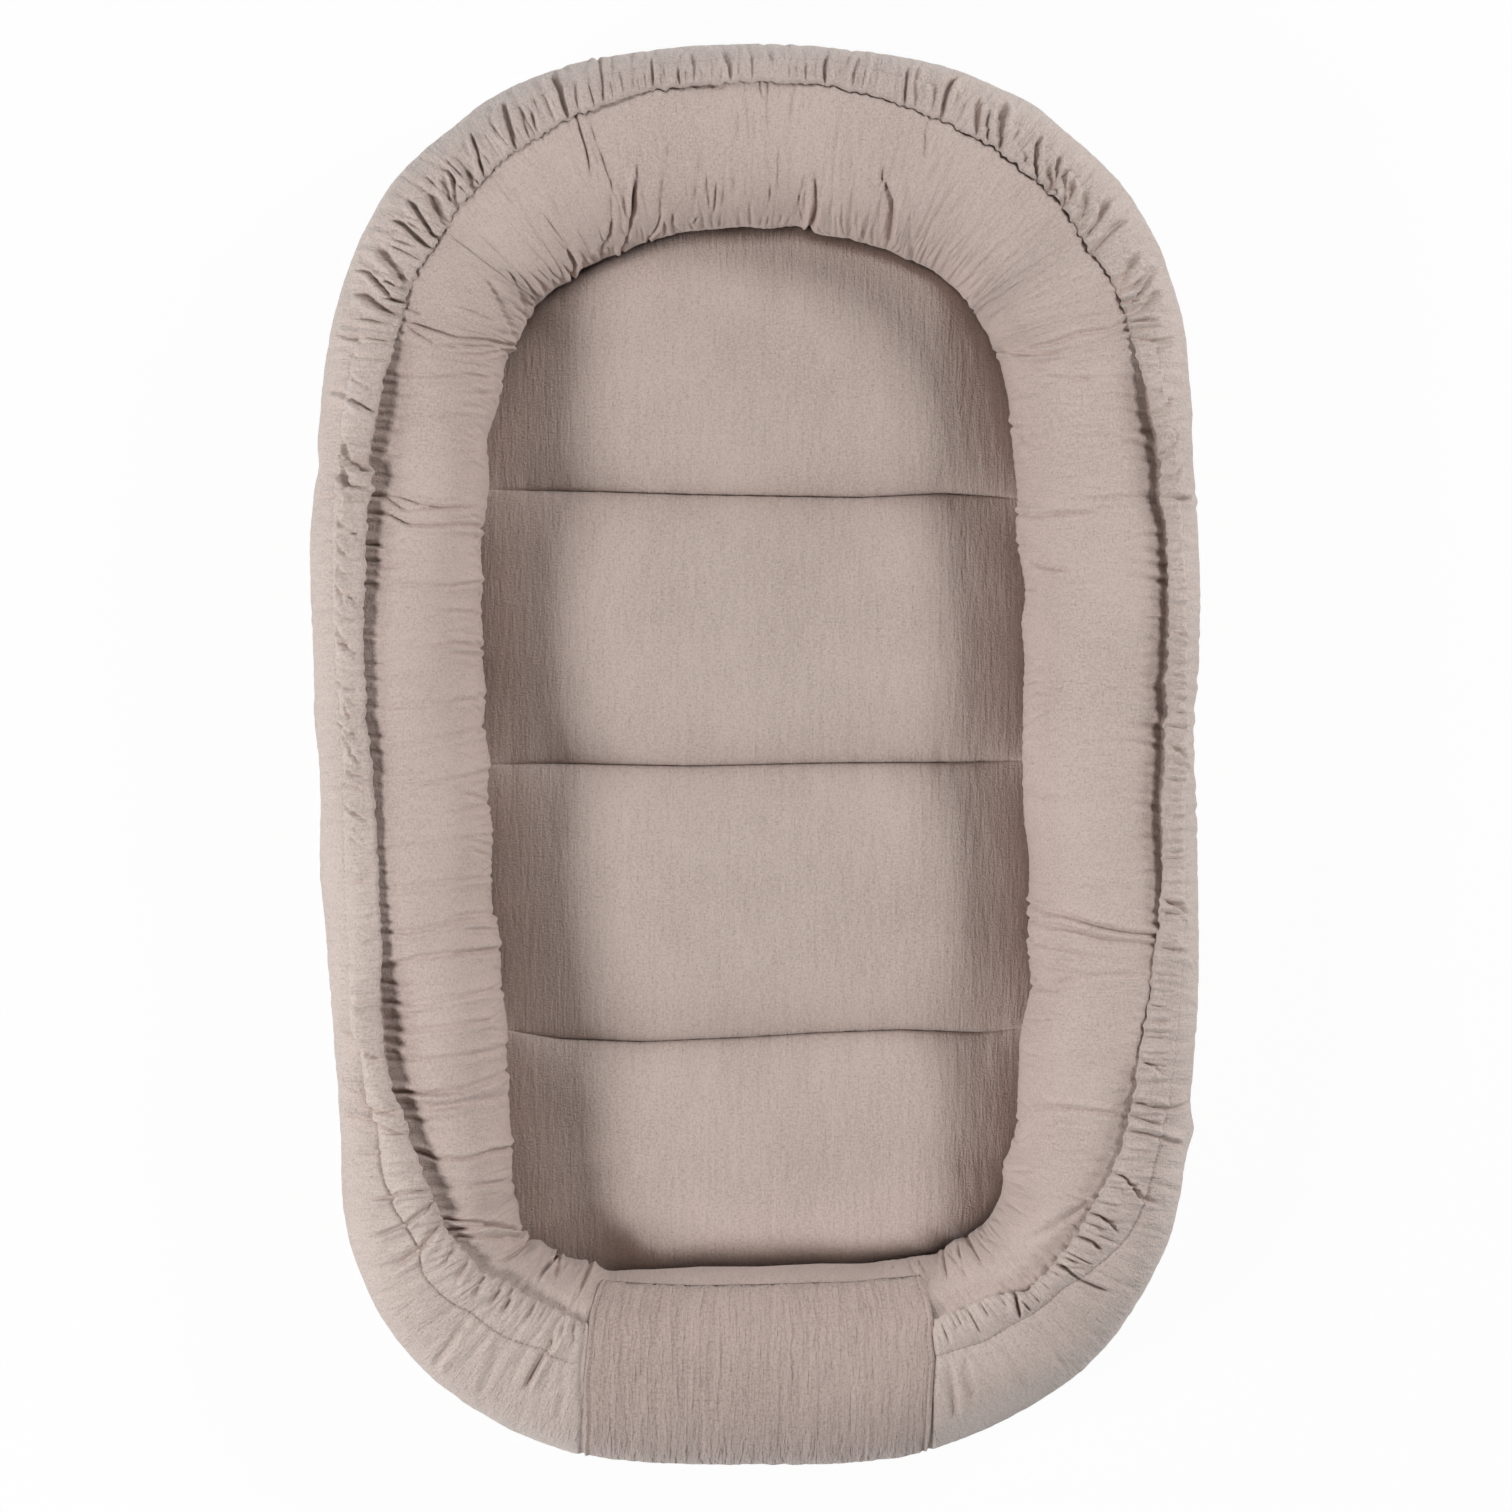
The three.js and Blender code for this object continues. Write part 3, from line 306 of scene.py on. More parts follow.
# Wrinkles of the bolster's own cloth, from its outer side to the pad, written like the pleats. With side 0
# cloth stands up evenly on both sides.
ROLL_FOLDS = [
    ([(576, 121), (586, 147), (590, 171), (592, 200)], 1.0, 2.2, 0),
    ([(678, 130), (667, 159), (661, 194), (656, 224)], 1.5, 3.0, 1),
    ([(652, 156), (642, 171), (634, 194), (633, 218)], 1.6, 2.6, 1),
    ([(640, 150), (634, 188), (631, 212), (624, 236)], 2.2, 2.2, 1),
    ([(612, 160), (611, 195), (611, 218), (606, 240)], 1.3, 2.6, -1),
    ([(705, 120), (700, 160), (694, 195), (690, 224)], 1.0, 3.0, 0),
    ([(735, 100), (733, 150), (730, 190), (728, 222)], 0.8, 3.4, 1),
    ([(767, 87), (767, 117), (771, 147)], 1.3, 1.8, 0),
    ([(786, 120), (790, 160), (790, 200)], 0.8, 3.2, 0),
    ([(812, 160), (816, 185), (816, 202), (815, 213), (810, 225)], 3.6, 2.6, 1),
    ([(845, 130), (850, 175), (852, 205), (850, 234)], 0.9, 3.2, 0),
    ([(880, 170), (893, 200), (893, 216), (891, 234), (896, 247)], 3.8, 2.8, -1),
    ([(923, 132), (926, 140), (923, 165)], 1.2, 2.0, 0),
    ([(905, 150), (906, 190), (912, 230), (915, 256)], 1.0, 3.0, 1),
    ([(974, 186), (960, 203), (950, 218)], 1.4, 2.4, 0),
    ([(1004, 176), (985, 215), (965, 250), (952, 276)], 0.9, 3.0, 1),
    ([(1040, 228), (1010, 262), (985, 290), (968, 299)], 1.0, 3.0, 1),
    ([(1127, 321), (1109, 330), (1076, 334), (1049, 345), (1020, 348)], 2.0, 2.2, 1),
    ([(1127, 330), (1100, 342), (1064, 352), (1031, 355), (998, 352)], 1.8, 2.4, -1),
    ([(1120, 340), (1090, 352), (1050, 362), (1010, 366)], 1.0, 2.4, 1),
    ([(1100, 379), (1075, 379), (1040, 377)], 1.1, 2.2, 0),
    ([(1043, 444), (1030, 442), (1020, 437), (1014, 424)], 2.0, 2.4, 1),
    ([(1160, 497), (1130, 498), (1096, 500), (1060, 500)], 1.2, 2.2, 0),
    ([(1110, 517), (1078, 513), (1042, 515), (1019, 513)], 1.8, 2.2, 1),
    ([(1074, 572), (1053, 569), (1028, 558)], 1.6, 2.4, -1),
    ([(1164, 565), (1140, 563), (1117, 560)], 1.4, 2.4, 0),
    ([(1160, 580), (1140, 577), (1120, 575)], 1.2, 2.4, 0),
    ([(1050, 545), (1035, 545), (1022, 543)], 1.3, 2.2, 1),
    ([(1163, 727), (1140, 727), (1120, 725)], 1.3, 2.4, 0),
    ([(1160, 745), (1130, 742), (1095, 741)], 0.9, 2.6, 0),
    ([(1153, 935), (1125, 932), (1096, 926), (1064, 915), (1032, 904)], 2.2, 2.4, 1),
    ([(1150, 944), (1103, 939), (1067, 928), (1030, 918)], 1.8, 2.4, 1),
    ([(1120, 962), (1096, 958), (1064, 950), (1031, 938)], 1.6, 2.6, -1),
    ([(1110, 980), (1075, 972), (1033, 958)], 1.2, 2.6, 1),
    ([(1080, 990), (1055, 990), (1034, 986)], 1.6, 2.2, -1),
    ([(1150, 975), (1110, 975), (1070, 980), (1035, 990)], 1.2, 2.6, 0),
    ([(1125, 1116), (1100, 1112), (1072, 1108), (1039, 1107), (1019, 1122)], 2.0, 2.4, 1),
    ([(1100, 1128), (1066, 1124), (1040, 1128), (1017, 1138)], 1.2, 2.6, -1),
    ([(1085, 1207), (1060, 1222), (1038, 1235), (1012, 1245)], 1.8, 3.2, 1),
    ([(1060, 1170), (1030, 1170), (1006, 1168)], 1.2, 2.6, 0),
    ([(990, 1275), (978, 1258), (968, 1240)], 1.6, 2.6, 1),
    ([(948, 1290), (946, 1272), (944, 1250)], 1.4, 2.2, -1),
    ([(386, 1002), (412, 1005), (440, 999), (479, 993), (500, 990)], 1.4, 2.8, 1),
    ([(389, 1053), (428, 1060), (466, 1056), (504, 1047)], 1.4, 2.8, -1),
    ([(405, 1092), (428, 1093), (453, 1092), (479, 1085), (506, 1072)], 2.4, 2.4, 1),
    ([(410, 1104), (440, 1105), (480, 1100), (507, 1095)], 1.2, 2.6, -1),
    ([(418, 1152), (437, 1159), (466, 1159), (491, 1152), (510, 1147)], 2.2, 2.4, -1),
    ([(445, 1180), (470, 1185), (510, 1182)], 1.0, 3.0, 1),
    ([(447, 1219), (469, 1221), (491, 1225), (521, 1232)], 2.2, 1.8, 1),
    ([(460, 1236), (490, 1237), (520, 1240)], 1.4, 1.8, -1),
    ([(491, 1264), (504, 1261), (515, 1254), (526, 1243)], 2.4, 1.8, -1),
    ([(534, 1287), (541, 1274), (549, 1265), (556, 1257)], 3.4, 2.2, 1),
    ([(552, 1286), (555, 1270), (558, 1257)], 2.4, 2.0, -1),
    ([(575, 1303), (582, 1284), (590, 1264)], 2.0, 2.2, 1),
    ([(409, 309), (417, 312), (426, 317)], 1.6, 1.8, 1),
    ([(409, 321), (429, 329), (458, 338), (488, 341), (513, 345)], 2.4, 2.0, 1),
    ([(406, 324), (417, 333), (438, 346), (464, 346), (506, 348)], 1.6, 2.0, -1),
    ([(435, 347), (453, 353), (482, 356), (506, 352)], 1.5, 2.0, 1),
    ([(464, 253), (488, 282), (502, 312), (510, 329), (516, 342)], 2.0, 3.0, 1),
    ([(484, 250), (505, 265), (511, 274), (517, 288), (523, 315)], 1.4, 2.4, -1),
    ([(564, 238), (568, 250), (573, 262), (570, 276)], 3.4, 2.2, -1),
    ([(560, 262), (566, 268), (572, 276)], 2.0, 1.6, 1),
    ([(546, 188), (556, 206), (562, 225)], 1.1, 2.4, 0),
    ([(511, 182), (523, 206), (535, 230)], 0.9, 2.6, 0),
    ([(391, 375), (423, 376), (464, 376), (500, 381)], 1.5, 2.2, 1),
    ([(438, 398), (467, 395), (496, 393)], 1.1, 2.8, -1),
    ([(426, 417), (447, 416), (469, 416)], 1.5, 1.8, 0),
    ([(368, 494), (386, 497), (404, 509), (421, 508), (480, 510)], 1.8, 2.6, 1),
    ([(370, 513), (389, 513), (407, 524), (436, 526), (480, 528)], 2.4, 2.4, 1),
    ([(367, 583), (407, 585), (450, 586), (482, 583)], 1.3, 2.0, -1),
    ([(407, 654), (436, 647), (457, 644), (482, 649)], 1.9, 2.2, 1),
    ([(375, 706), (418, 706), (454, 702), (486, 697)], 1.4, 2.4, 0),
    ([(380, 752), (425, 742), (457, 736), (486, 726)], 1.2, 2.8, 1),
    ([(407, 790), (443, 781), (488, 770)], 1.5, 2.4, -1),
    ([(436, 818), (461, 811), (490, 804)], 1.1, 2.4, 1),
    ([(382, 933), (418, 931), (454, 922), (495, 915)], 1.6, 2.4, 1),
    ([(384, 968), (418, 958), (450, 954), (500, 950)], 1.5, 3.0, -1),
    ([(579, 125), (585, 147), (589, 163), (591, 180)], 1.4, 1.8, 1),
    ([(600, 150), (606, 170), (609, 182)], 0.9, 2.4, 0),
    ([(636, 160), (634, 190), (631, 215), (627, 235), (621, 248)], 2.2, 1.8, 1),
    ([(664, 200), (660, 215), (656, 228), (648, 238)], 2.2, 1.6, -1),
    ([(612, 215), (609, 232), (600, 247), (592, 258)], 1.9, 2.2, 1),
    ([(680, 195), (674, 215), (668, 228)], 1.0, 2.4, 0),
    ([(698, 212), (693, 224)], 1.4, 1.6, 1),
    ([(717, 175), (716, 195), (712, 215)], 1.3, 1.6, -1),
    ([(760, 88), (764, 105)], 1.3, 1.4, 1),
    ([(850, 130), (851, 160), (856, 185)], 1.0, 2.4, -1),
    ([(880, 150), (883, 180), (888, 200)], 1.0, 2.4, 1),
    ([(925, 130), (924, 145), (922, 160)], 1.2, 1.6, 1),
    ([(402, 1092), (425, 1094), (450, 1092)], 2.4, 1.8, -1),
    ([(400, 1111), (440, 1108), (480, 1100)], 1.8, 2.4, 1),
    ([(452, 1229), (480, 1227), (500, 1224)], 1.6, 1.8, -1),
    ([(498, 1236), (520, 1235)], 1.8, 1.4, 1),
    ([(371, 495), (385, 493), (400, 496), (415, 503), (440, 508), (465, 507)], 2.0, 1.8, -1),
    ([(382, 406), (402, 405)], 1.8, 1.8, 1),
    ([(382, 422), (400, 423)], 2.0, 1.8, 1),
    ([(376, 450), (396, 451)], 2.0, 1.8, -1),
    ([(370, 544), (388, 545)], 2.0, 1.8, 1),
    ([(370, 560), (390, 560)], 1.7, 1.8, -1),
    ([(368, 635), (384, 635)], 1.6, 1.8, 1),
    ([(369, 680), (400, 678), (440, 672)], 1.1, 2.2, 1),
    ([(376, 850), (420, 846), (470, 838), (492, 834)], 1.0, 2.4, -1),
    ([(380, 890), (430, 884), (490, 876)], 1.2, 2.2, 1),
    ([(384, 1030), (420, 1030), (460, 1026), (500, 1018)], 1.8, 2.6, 1),
    ([(420, 610), (450, 612), (480, 616)], 1.0, 2.2, -1),
    ([(400, 452), (440, 455), (486, 452)], 1.0, 2.4, 1),
]


def seeded(number):
    return np.random.default_rng(SEED + number)


def smoothstep(value):
    value = np.clip(value, 0, 1)
    return value * value * (3 - 2 * value)


# Plan curve, at even steps round the ring
def closed_curve(points, steps):
    """A smooth closed curve through points, with that many steps to each."""
    points = np.array(points, float)
    share = np.linspace(0, 1, steps, endpoint=False)[:, None]
    spans = []
    for index in range(len(points)):
        a = points[index - 1]
        b = points[index]
        c = points[(index + 1) % len(points)]
        d = points[(index + 2) % len(points)]
        cubic = -a + 3 * b - 3 * c + d
        square = 2 * a - 5 * b + 4 * c - d
        spans.append(0.5 * (2 * b + (c - a) * share + square * share**2 + cubic * share**3))
    return np.concatenate(spans)


def lengths_along(points):
    """How far along a line of points each one lies."""
    return np.concatenate([[0], np.cumsum(np.linalg.norm(np.diff(points, axis=0), axis=1))])


RING = 4096
rough = closed_curve([(x * HALF_WIDTH, y * HALF_LENGTH) for x, y in OUTLINE], 240)
rough = np.vstack([rough, rough[:1]])
walked = lengths_along(rough)
AROUND = walked[-1]
ring_u = np.arange(RING) * AROUND / RING
ring_x = np.interp(ring_u, walked, rough[:, 0])
ring_y = np.interp(ring_u, walked, rough[:, 1])


def smooth_ring(values, width):
    """Softens values round the ring with a bell of that width in mm."""
    steps = np.minimum(np.arange(RING), RING - np.arange(RING)) * AROUND / RING
    bell = np.exp(-0.5 * (steps / width) ** 2)
    bell /= bell.sum()
    return np.real(np.fft.ifft(np.fft.fft(values) * np.fft.fft(bell)))


def slope_ring(values):
    return (np.roll(values, -1) - np.roll(values, 1)) / (2 * AROUND / RING)


tangent_x = smooth_ring(slope_ring(ring_x), 6)
tangent_y = smooth_ring(slope_ring(ring_y), 6)
tangent_size = np.hypot(tangent_x, tangent_y)
ring_in_x = -tangent_y / tangent_size
ring_in_y = tangent_x / tangent_size
ring_bend = smooth_ring(np.abs(ring_in_x * slope_ring(ring_in_y) - ring_in_y * slope_ring(ring_in_x)), 12)


def on_ring(values, u):
    return np.interp(u, ring_u, values, period=AROUND)


def at_depth(u, depth, level):
    """Points at a level, that far in from the plan curve."""
    x = on_ring(ring_x, u) + on_ring(ring_in_x, u) * depth
    y = on_ring(ring_y, u) + on_ring(ring_in_y, u) * depth
    return np.stack([x, y, level + 0 * x], axis=-1)


def photo_point(px, py, level):
    """The point at that level which the camera sees at a pixel of the photograph."""
    scale = PIXEL * (CAMERA_HEIGHT + WIDEST_LEVEL - level) / CAMERA_HEIGHT
    return (px - MIDDLE_X) * scale, (MIDDLE_Y - py) * scale


def ring_place(x, y):
    """How far round the ring a point of the plan lies, and how far in from the plan curve."""
    away_x = x - ring_x
    away_y = y - ring_y
    reach = away_x * ring_in_x + away_y * ring_in_y
    aside = np.abs(away_x * ring_in_y - away_y * ring_in_x)
    aside = np.where((reach > -25) & (reach < 170), aside, 1e9)
    nearest = int(np.argmin(aside))
    return ring_u[nearest], reach[nearest]


def ring_values(places, softness):
    """Values round the ring through a list of (u, value)."""
    places = sorted(places)
    us = np.array([place[0] for place in places])
    values = np.array([place[1] for place in places])
    return smooth_ring(np.interp(ring_u, us, values, period=AROUND), softness)


# Bolster section: a squarish ellipse, pressed flat below
roll_reach = ring_values([ring_place(*photo_point(px, py, INNER_EDGE_LEVEL)) for px, py in INNER_EDGE], 2.2)


def squared(value):
    return np.sign(value) * np.abs(value) ** SQUARENESS


def half_roll(u):
    return (on_ring(roll_reach, u) - ROLL_SKIN - COVER_SKIN) / 2


def section(u, theta, offset):
    """Depth in from the plan and level of a point of the section, lifted off the filling by offset."""
    half = half_roll(u)
    across = half * squared(np.cos(theta))
    rise = ROLL_HALF_HEIGHT * squared(np.sin(theta))
    power = 2 / SQUARENESS - 1
    facing_out = np.sign(across) * np.abs(across / half) ** power / half
    facing_up = np.sign(rise) * np.abs(rise / ROLL_HALF_HEIGHT) ** power / ROLL_HALF_HEIGHT
    size = np.hypot(facing_out, facing_up)
    depth = COVER_SKIN + half - across - offset * facing_out / size
    level = ROLL_MIDDLE + rise + offset * facing_up / size
    return depth, np.maximum(level, FILL_BOTTOM - 0.6 * np.minimum(offset, ROLL_SKIN))


# Way over the section against the angle, on a section of middling width
MIDDLING_HALF = 50
arc_theta = np.radians(np.linspace(-110, 290, 8001))
arc_x = MIDDLING_HALF * squared(np.cos(arc_theta))
arc_z = ROLL_HALF_HEIGHT * squared(np.sin(arc_theta))
arc_a = lengths_along(np.stack([arc_x, arc_z], axis=-1))
arc_a -= np.interp(0, arc_theta, arc_a)
INNER_A = float(np.interp(math.pi, arc_theta, arc_a))


def theta_of(a):
    return np.interp(a, arc_a, arc_theta)


def a_at_reach(u, reach, skin):
    half = half_roll(u)
    across = np.clip((COVER_SKIN + half - reach) / (half + skin), -1, 1)
    return np.interp(np.arccos(np.sign(across) * np.abs(across) ** (1 / SQUARENESS)), arc_theta, arc_a)


def lay(u, a, offset):
    """Points of a ring surface."""
    u = np.broadcast_to(u, a.shape)
    return at_depth(u, *section(u, theta_of(a), offset))


def surface_place(px, py, skin):
    """(u, a) of the upper surface that the camera sees at a pixel."""
    level = 110.0
    for _ in range(4):
        u, reach = ring_place(*photo_point(px, py, level))
        a = float(a_at_reach(u, reach, skin))
        _, level = section(np.array([u]), theta_of(np.array([a])), skin)
        level = float(level[0])
    return u, a


hem_a = ring_values([surface_place(px, py, COVER_SKIN) for px, py in HEM_EDGE], 1.6)
stitch_a = ring_values([surface_place(px, py, COVER_SKIN) for px, py in STITCH_EDGE], 3.0)
stitch_a = np.minimum(stitch_a, smooth_ring(hem_a, 8) - 12)
hem_a += 2.4 * smooth_ring(seeded(3).uniform(-1, 1, RING), 1.3) - 1.3
hem_stand = ring_values([(surface_place(*pixel, COVER_SKIN)[0], stand) for pixel, stand in HEM_STANDS], 5)
# What is more than the two cloths' own step comes from lifting the hem and from pressing the bolster
OWN_STEP = COVER_SKIN - ROLL_SKIN
hem_lift = 0.4 * np.maximum(hem_stand - OWN_STEP, 0)

# The two long sides, where the casing stands off the bolster: 1 there and 0 round the ends
share_round = ring_u / AROUND
long_sides = np.exp(-(((share_round - 0.752) / 0.068) ** 6))
long_sides += np.exp(-(((share_round - 0.270) / 0.085) ** 4))
# How plainly the casing's stitched line shows: clearly towards the foot end only
stitch_shows = smoothstep((0.175 - np.minimum(share_round, 1 - share_round)) / 0.03)


def spaced(first, last, fine, coarse):
    """Places along the ring, closer together where the cloth is gathered into fine folds."""
    u = np.linspace(first, last, 9001)
    share = u / AROUND
    gathered = np.exp(-(((share - 0.5) / 0.185) ** 6))
    gathered += np.exp(-(((share - 0.13) / 0.07) ** 6)) + np.exp(-(((share - 0.85) / 0.075) ** 6))
    gap = coarse + (fine - coarse) * np.clip(gathered, 0, 1)
    count = np.concatenate([[0], np.cumsum(np.diff(u) / gap[1:])])
    return np.interp(np.linspace(0, count[-1], int(count[-1])), count, u)


def between_entries(table, at_x, at_y):
    """Values between the entries of a table that wraps round at its edges."""
    rows, columns = table.shape
    low_x = np.floor(at_x).astype(int)
    low_y = np.floor(at_y).astype(int)
    share_x = smoothstep(at_x - low_x)
    share_y = smoothstep(at_y - low_y)

    def along(y):
        near = table[low_x % rows, y % columns]
        return near * (1 - share_x) + table[(low_x + 1) % rows, y % columns] * share_x

    return along(low_y) * (1 - share_y) + along(low_y + 1) * share_y


def ring_noise(u, a, layers):
    """Smooth noise on a ring surface. A layer is a height, its lumps' size round and over, and a seed."""
    height = 0
    for depth, size_u, size_a, number in layers:
        around = max(3, round(AROUND / size_u))
        table = seeded(number).uniform(-1, 1, (around, 96))
        height = height + depth * between_entries(table, u / AROUND * around, (a / size_a + 40) % 95)
    return height


def plan_noise(x, y, size_x, size_y, number):
    """Smooth noise from -1 to 1 on the plan, with lumps of that size."""
    table = seeded(number).uniform(-1, 1, (256, 256))
    return between_entries(table, x / size_x + 100, y / size_y + 100)


def around_from(u, centre):
    return (u - centre + AROUND / 2) % AROUND - AROUND / 2


def closeness(u, a):
    """How much closer together points lie than their u says, on the inner side of a bend."""
    return np.clip(1 - on_ring(ring_bend, u)[:, None] * section(u[:, None], theta_of(a), 0)[0], 0.25, 1)


def beside_line(u, a, narrowing, us, places, room):
    """The rows of a surface near a line across it, and how far beside it and along it their points lie."""
    order = np.argsort(places)
    places = np.array(places, float)[order] + np.arange(len(places)) * 1e-3
    bends = around_from(np.array(us, float)[order], us[0])
    near = np.flatnonzero(np.abs(around_from(u, us[0])) < np.max(np.abs(bends)) + room)
    here = a[near]
    tilt = np.interp(here, places, np.gradient(bends, places))
    away = around_from(u[near], us[0])[:, None] - np.interp(here, places, bends)
    away = away * narrowing[near] / np.sqrt(1 + np.clip(tilt, -3, 3) ** 2)
    return near, away, (here - places[0]) / (places[-1] - places[0])


def fading(share, open_low, open_high):
    """1 along a line, falling to 0 at the ends that aren't open."""
    strength = np.ones_like(share)
    if not open_low:
        strength *= smoothstep(share / 0.22)
    if not open_high:
        strength *= smoothstep((1 - share) / 0.3)
    return strength


# A fold's cloth stands up beside its valley as far as the valley is deep, up to this; both in mm
TALLEST_FOLD = 4.0
DEEPEST_FOLD = 6.6


def add_folds(height, u, a, folds):
    """Adds valleys across a ring surface. A fold is (us, as, depth, width, side, open low, open high)."""
    narrowing = closeness(u, a)
    for us, places, depth, width, side, open_low, open_high in folds:
        near, away, share = beside_line(u, a, narrowing, us, places, 16 * width)
        away = away / width
        power = 2 if width < 2.6 else 3
        valley = np.exp(-(np.abs(away) ** power) / 0.55)
        if side == 0:
            ridges = 0.32 * np.exp(-((np.abs(away) - 1.9) ** 2) / 1.3)
        else:
            ridges = 0.7 * np.exp(-((away * side - 1.7) ** 2) / 1.3)
            ridges += 0.25 * np.exp(-((away * side + 1.9) ** 2) / 1.6)
        shape = min(depth, TALLEST_FOLD) * ridges - min(depth, DEEPEST_FOLD) * valley
        height[near] += fading(share, open_low, open_high) * shape
    return height


def add_laps(height, u, a, laps):
    """Adds steps where the cloth lies over itself. A lap is (us, as, rise, reach, side)."""
    narrowing = closeness(u, a)
    for us, places, rise, reach, side in laps:
        near, away, share = beside_line(u, a, narrowing, us, places, 4 * reach + 10)
        away = -away * side
        above = smoothstep((away + 0.3) / 0.9) * np.exp(-np.maximum(away, 0) / reach)
        below = np.exp(-((away / 2.2) ** 2)) * (away < 0.15)
        height[near] += rise * fading(share, False, True) * (above - 0.6 * below)
    return height


def placed_folds(rows, skin):
    """Folds of a table in pixels, carried over to the ring's own measures."""
    folds = []
    for pixels, depth, width, side in rows:
        us, places = map(list, zip(*[surface_place(px, py, skin) for px, py in pixels]))
        low = int(np.argmin(places))
        if places[low] < SEEN_A:
            us.append(us[low])
            places.append(UNSEEN_A)
        folds.append((us, places, depth, width, side))
    return folds


def scattered(random, first, last, drawn, gap):
    """Folds at uneven places round the ring, each drawn by a function of its place."""
    folds = []
    place = first
    while place < last:
        folds.append(drawn(random, place))
        place += random.uniform(*gap)
    return folds


def drawn_fold(random, place, start, way, lengths, lean, sizes, widths, gain=1, bow=0.5, ends=(False, True)):
    """A random fold over the section from start, up it if way is 1 or down it. Bow is its middle's lean."""
    length = way * random.uniform(*lengths)
    lean = random.normal(0, lean)
    size = random.uniform(*sizes) * gain
    broad = random.uniform(*widths)
    facing = int(random.choice([-1, 0, 1]))
    us = [place, place + bow * lean, place + lean]
    return us, [start, start + 0.5 * length, start + length], size, broad, facing, *ends


# Materials
def socket_color(red, green, blue):
    """A colour from 0 to 255 as the shader takes it."""
    values = []
    for value in (red, green, blue):
        share = value / 255
        values.append(share / 12.92 if share <= 0.04045 else ((share + 0.055) / 1.055) ** 2.4)
    return (*values, 1)


def add_node(tree, kind, inputs=None, **settings):
    """A shader node, with numbers or other nodes' outputs on its inputs."""
    node = tree.nodes.new("ShaderNode" + kind)
    for setting, value in settings.items():
        setattr(node, setting, value)
    for name, value in (inputs or {}).items():
        if isinstance(value, bpy.types.NodeSocket):
            tree.links.new(value, node.inputs[name])
        else:
            node.inputs[name].default_value = value
    return node


def maths(tree, operation, *values):
    return add_node(tree, "Math", dict(enumerate(values)), operation=operation).outputs[0]


def cloth(name, light, dark, rib, rib_length, rib_depth, grain_depth, sheen, grain=0.0013):
    """Woven cotton: crinkled ribs along the second texture direction, fine grain of the threads and fluff,
    with painted shade that darkens the ribs' valleys.
    """
    material = bpy.data.materials.new(name)
    material.use_nodes = True
    tree = material.node_tree
    shader = tree.nodes["Principled BSDF"]
    shader.inputs["Roughness"].default_value = 0.88
    shader.inputs["Specular IOR Level"].default_value = 0.22
    shader.inputs["Sheen Weight"].default_value = sheen
    shader.inputs["Sheen Roughness"].default_value = 0.55
    place = add_node(tree, "TexCoord").outputs["UV"]

    def noise(size_x, size_y, detail, twist):
        mapping = add_node(tree, "Mapping", {"Scale": (1 / size_x, 1 / size_y, 1), "Vector": place})
        settings = {"Scale": 1, "Detail": detail, "Distortion": twist, "Vector": mapping.outputs["Vector"]}
        return add_node(tree, "TexNoise", settings, noise_dimensions="2D").outputs["Fac"]

    def blend(*parts):
        """A sum of textures, each with its share."""
        total = None
        for texture, share in parts:
            part = maths(tree, "MULTIPLY", texture, share)
            total = part if total is None else maths(tree, "ADD", total, part)
        return total

    def bump(height, distance, **below):
        inputs = {"Strength": 1, "Distance": distance, "Height": height, **below}
        return add_node(tree, "Bump", inputs).outputs["Normal"]

    ribs = noise(rib, rib_length, 1.0, 0.25)
    fine_ribs = noise(rib * 0.45, rib_length * 0.3, 1.0, 0.1)
    cross = noise(rib_length * 0.7, rib * 0.9, 1.0, 0.2)
    warp = noise(grain * 0.8, grain * 2.4, 1.0, 0.0)
    weft = noise(grain * 2.4, grain * 0.8, 1.0, 0.0)
    cloud = noise(0.07, 0.07, 2.0, 0.0)
    speck = noise(grain, grain, 2.0, 0.0)
    relief = blend((ribs, 0.62), (cross, 0.08), (fine_ribs, 0.4))
    threads = blend((maths(tree, "ADD", warp, weft), 0.8), (speck, 1.4))
    # Colour: the threads' and the cloud's own random tone, plus painted shade from the ribs' relief, darker
    # in their valleys
    tone = maths(tree, "SUBTRACT", blend((relief, 0.34), (threads, 0.52), (cloud, 0.3)), 0.26)

    tone_and_shade_ramp = add_node(tree, "ValToRGB", {"Fac": tone})
    dark_stop, light_stop = tone_and_shade_ramp.color_ramp.elements
    dark_stop.position = 0.46
    dark_stop.color = socket_color(*dark)
    light_stop.position = 1.0
    light_stop.color = socket_color(*light)
    tree.links.new(tone_and_shade_ramp.outputs["Color"], shader.inputs["Base Color"])
    crinkle = bump(relief, rib_depth)
    tree.links.new(bump(threads, grain_depth, Normal=crinkle), shader.inputs["Normal"])
    return material


# Name, light and dark tone; ribs' width, length and depth, threads' depth in metres; sheen
muslin = cloth("muslin_cloth", (210, 194, 186), (174, 158, 150), 0.0036, 0.018, 0.0013, 0.0003, 0.35)
pad_muslin = cloth("pad_muslin_cloth", (208, 191, 183), (174, 157, 149), 0.0036, 0.030, 0.0009, 0.00025, 0.3)
flap_muslin = cloth("flap_muslin_cloth", (194, 175, 167), (158, 139, 131), 0.0040, 0.034, 0.0026, 0.0003, 0.3)
plain = cloth("plain_weave_cloth", (210, 192, 184), (177, 159, 151), 0.0030, 0.012, 0.0007, 0.0003, 0.25)
thread = cloth("sewing_thread", (172, 154, 146), (156, 138, 130), 0.0012, 0.0012, 0.0001, 0.0001, 0.1, 0.0006)


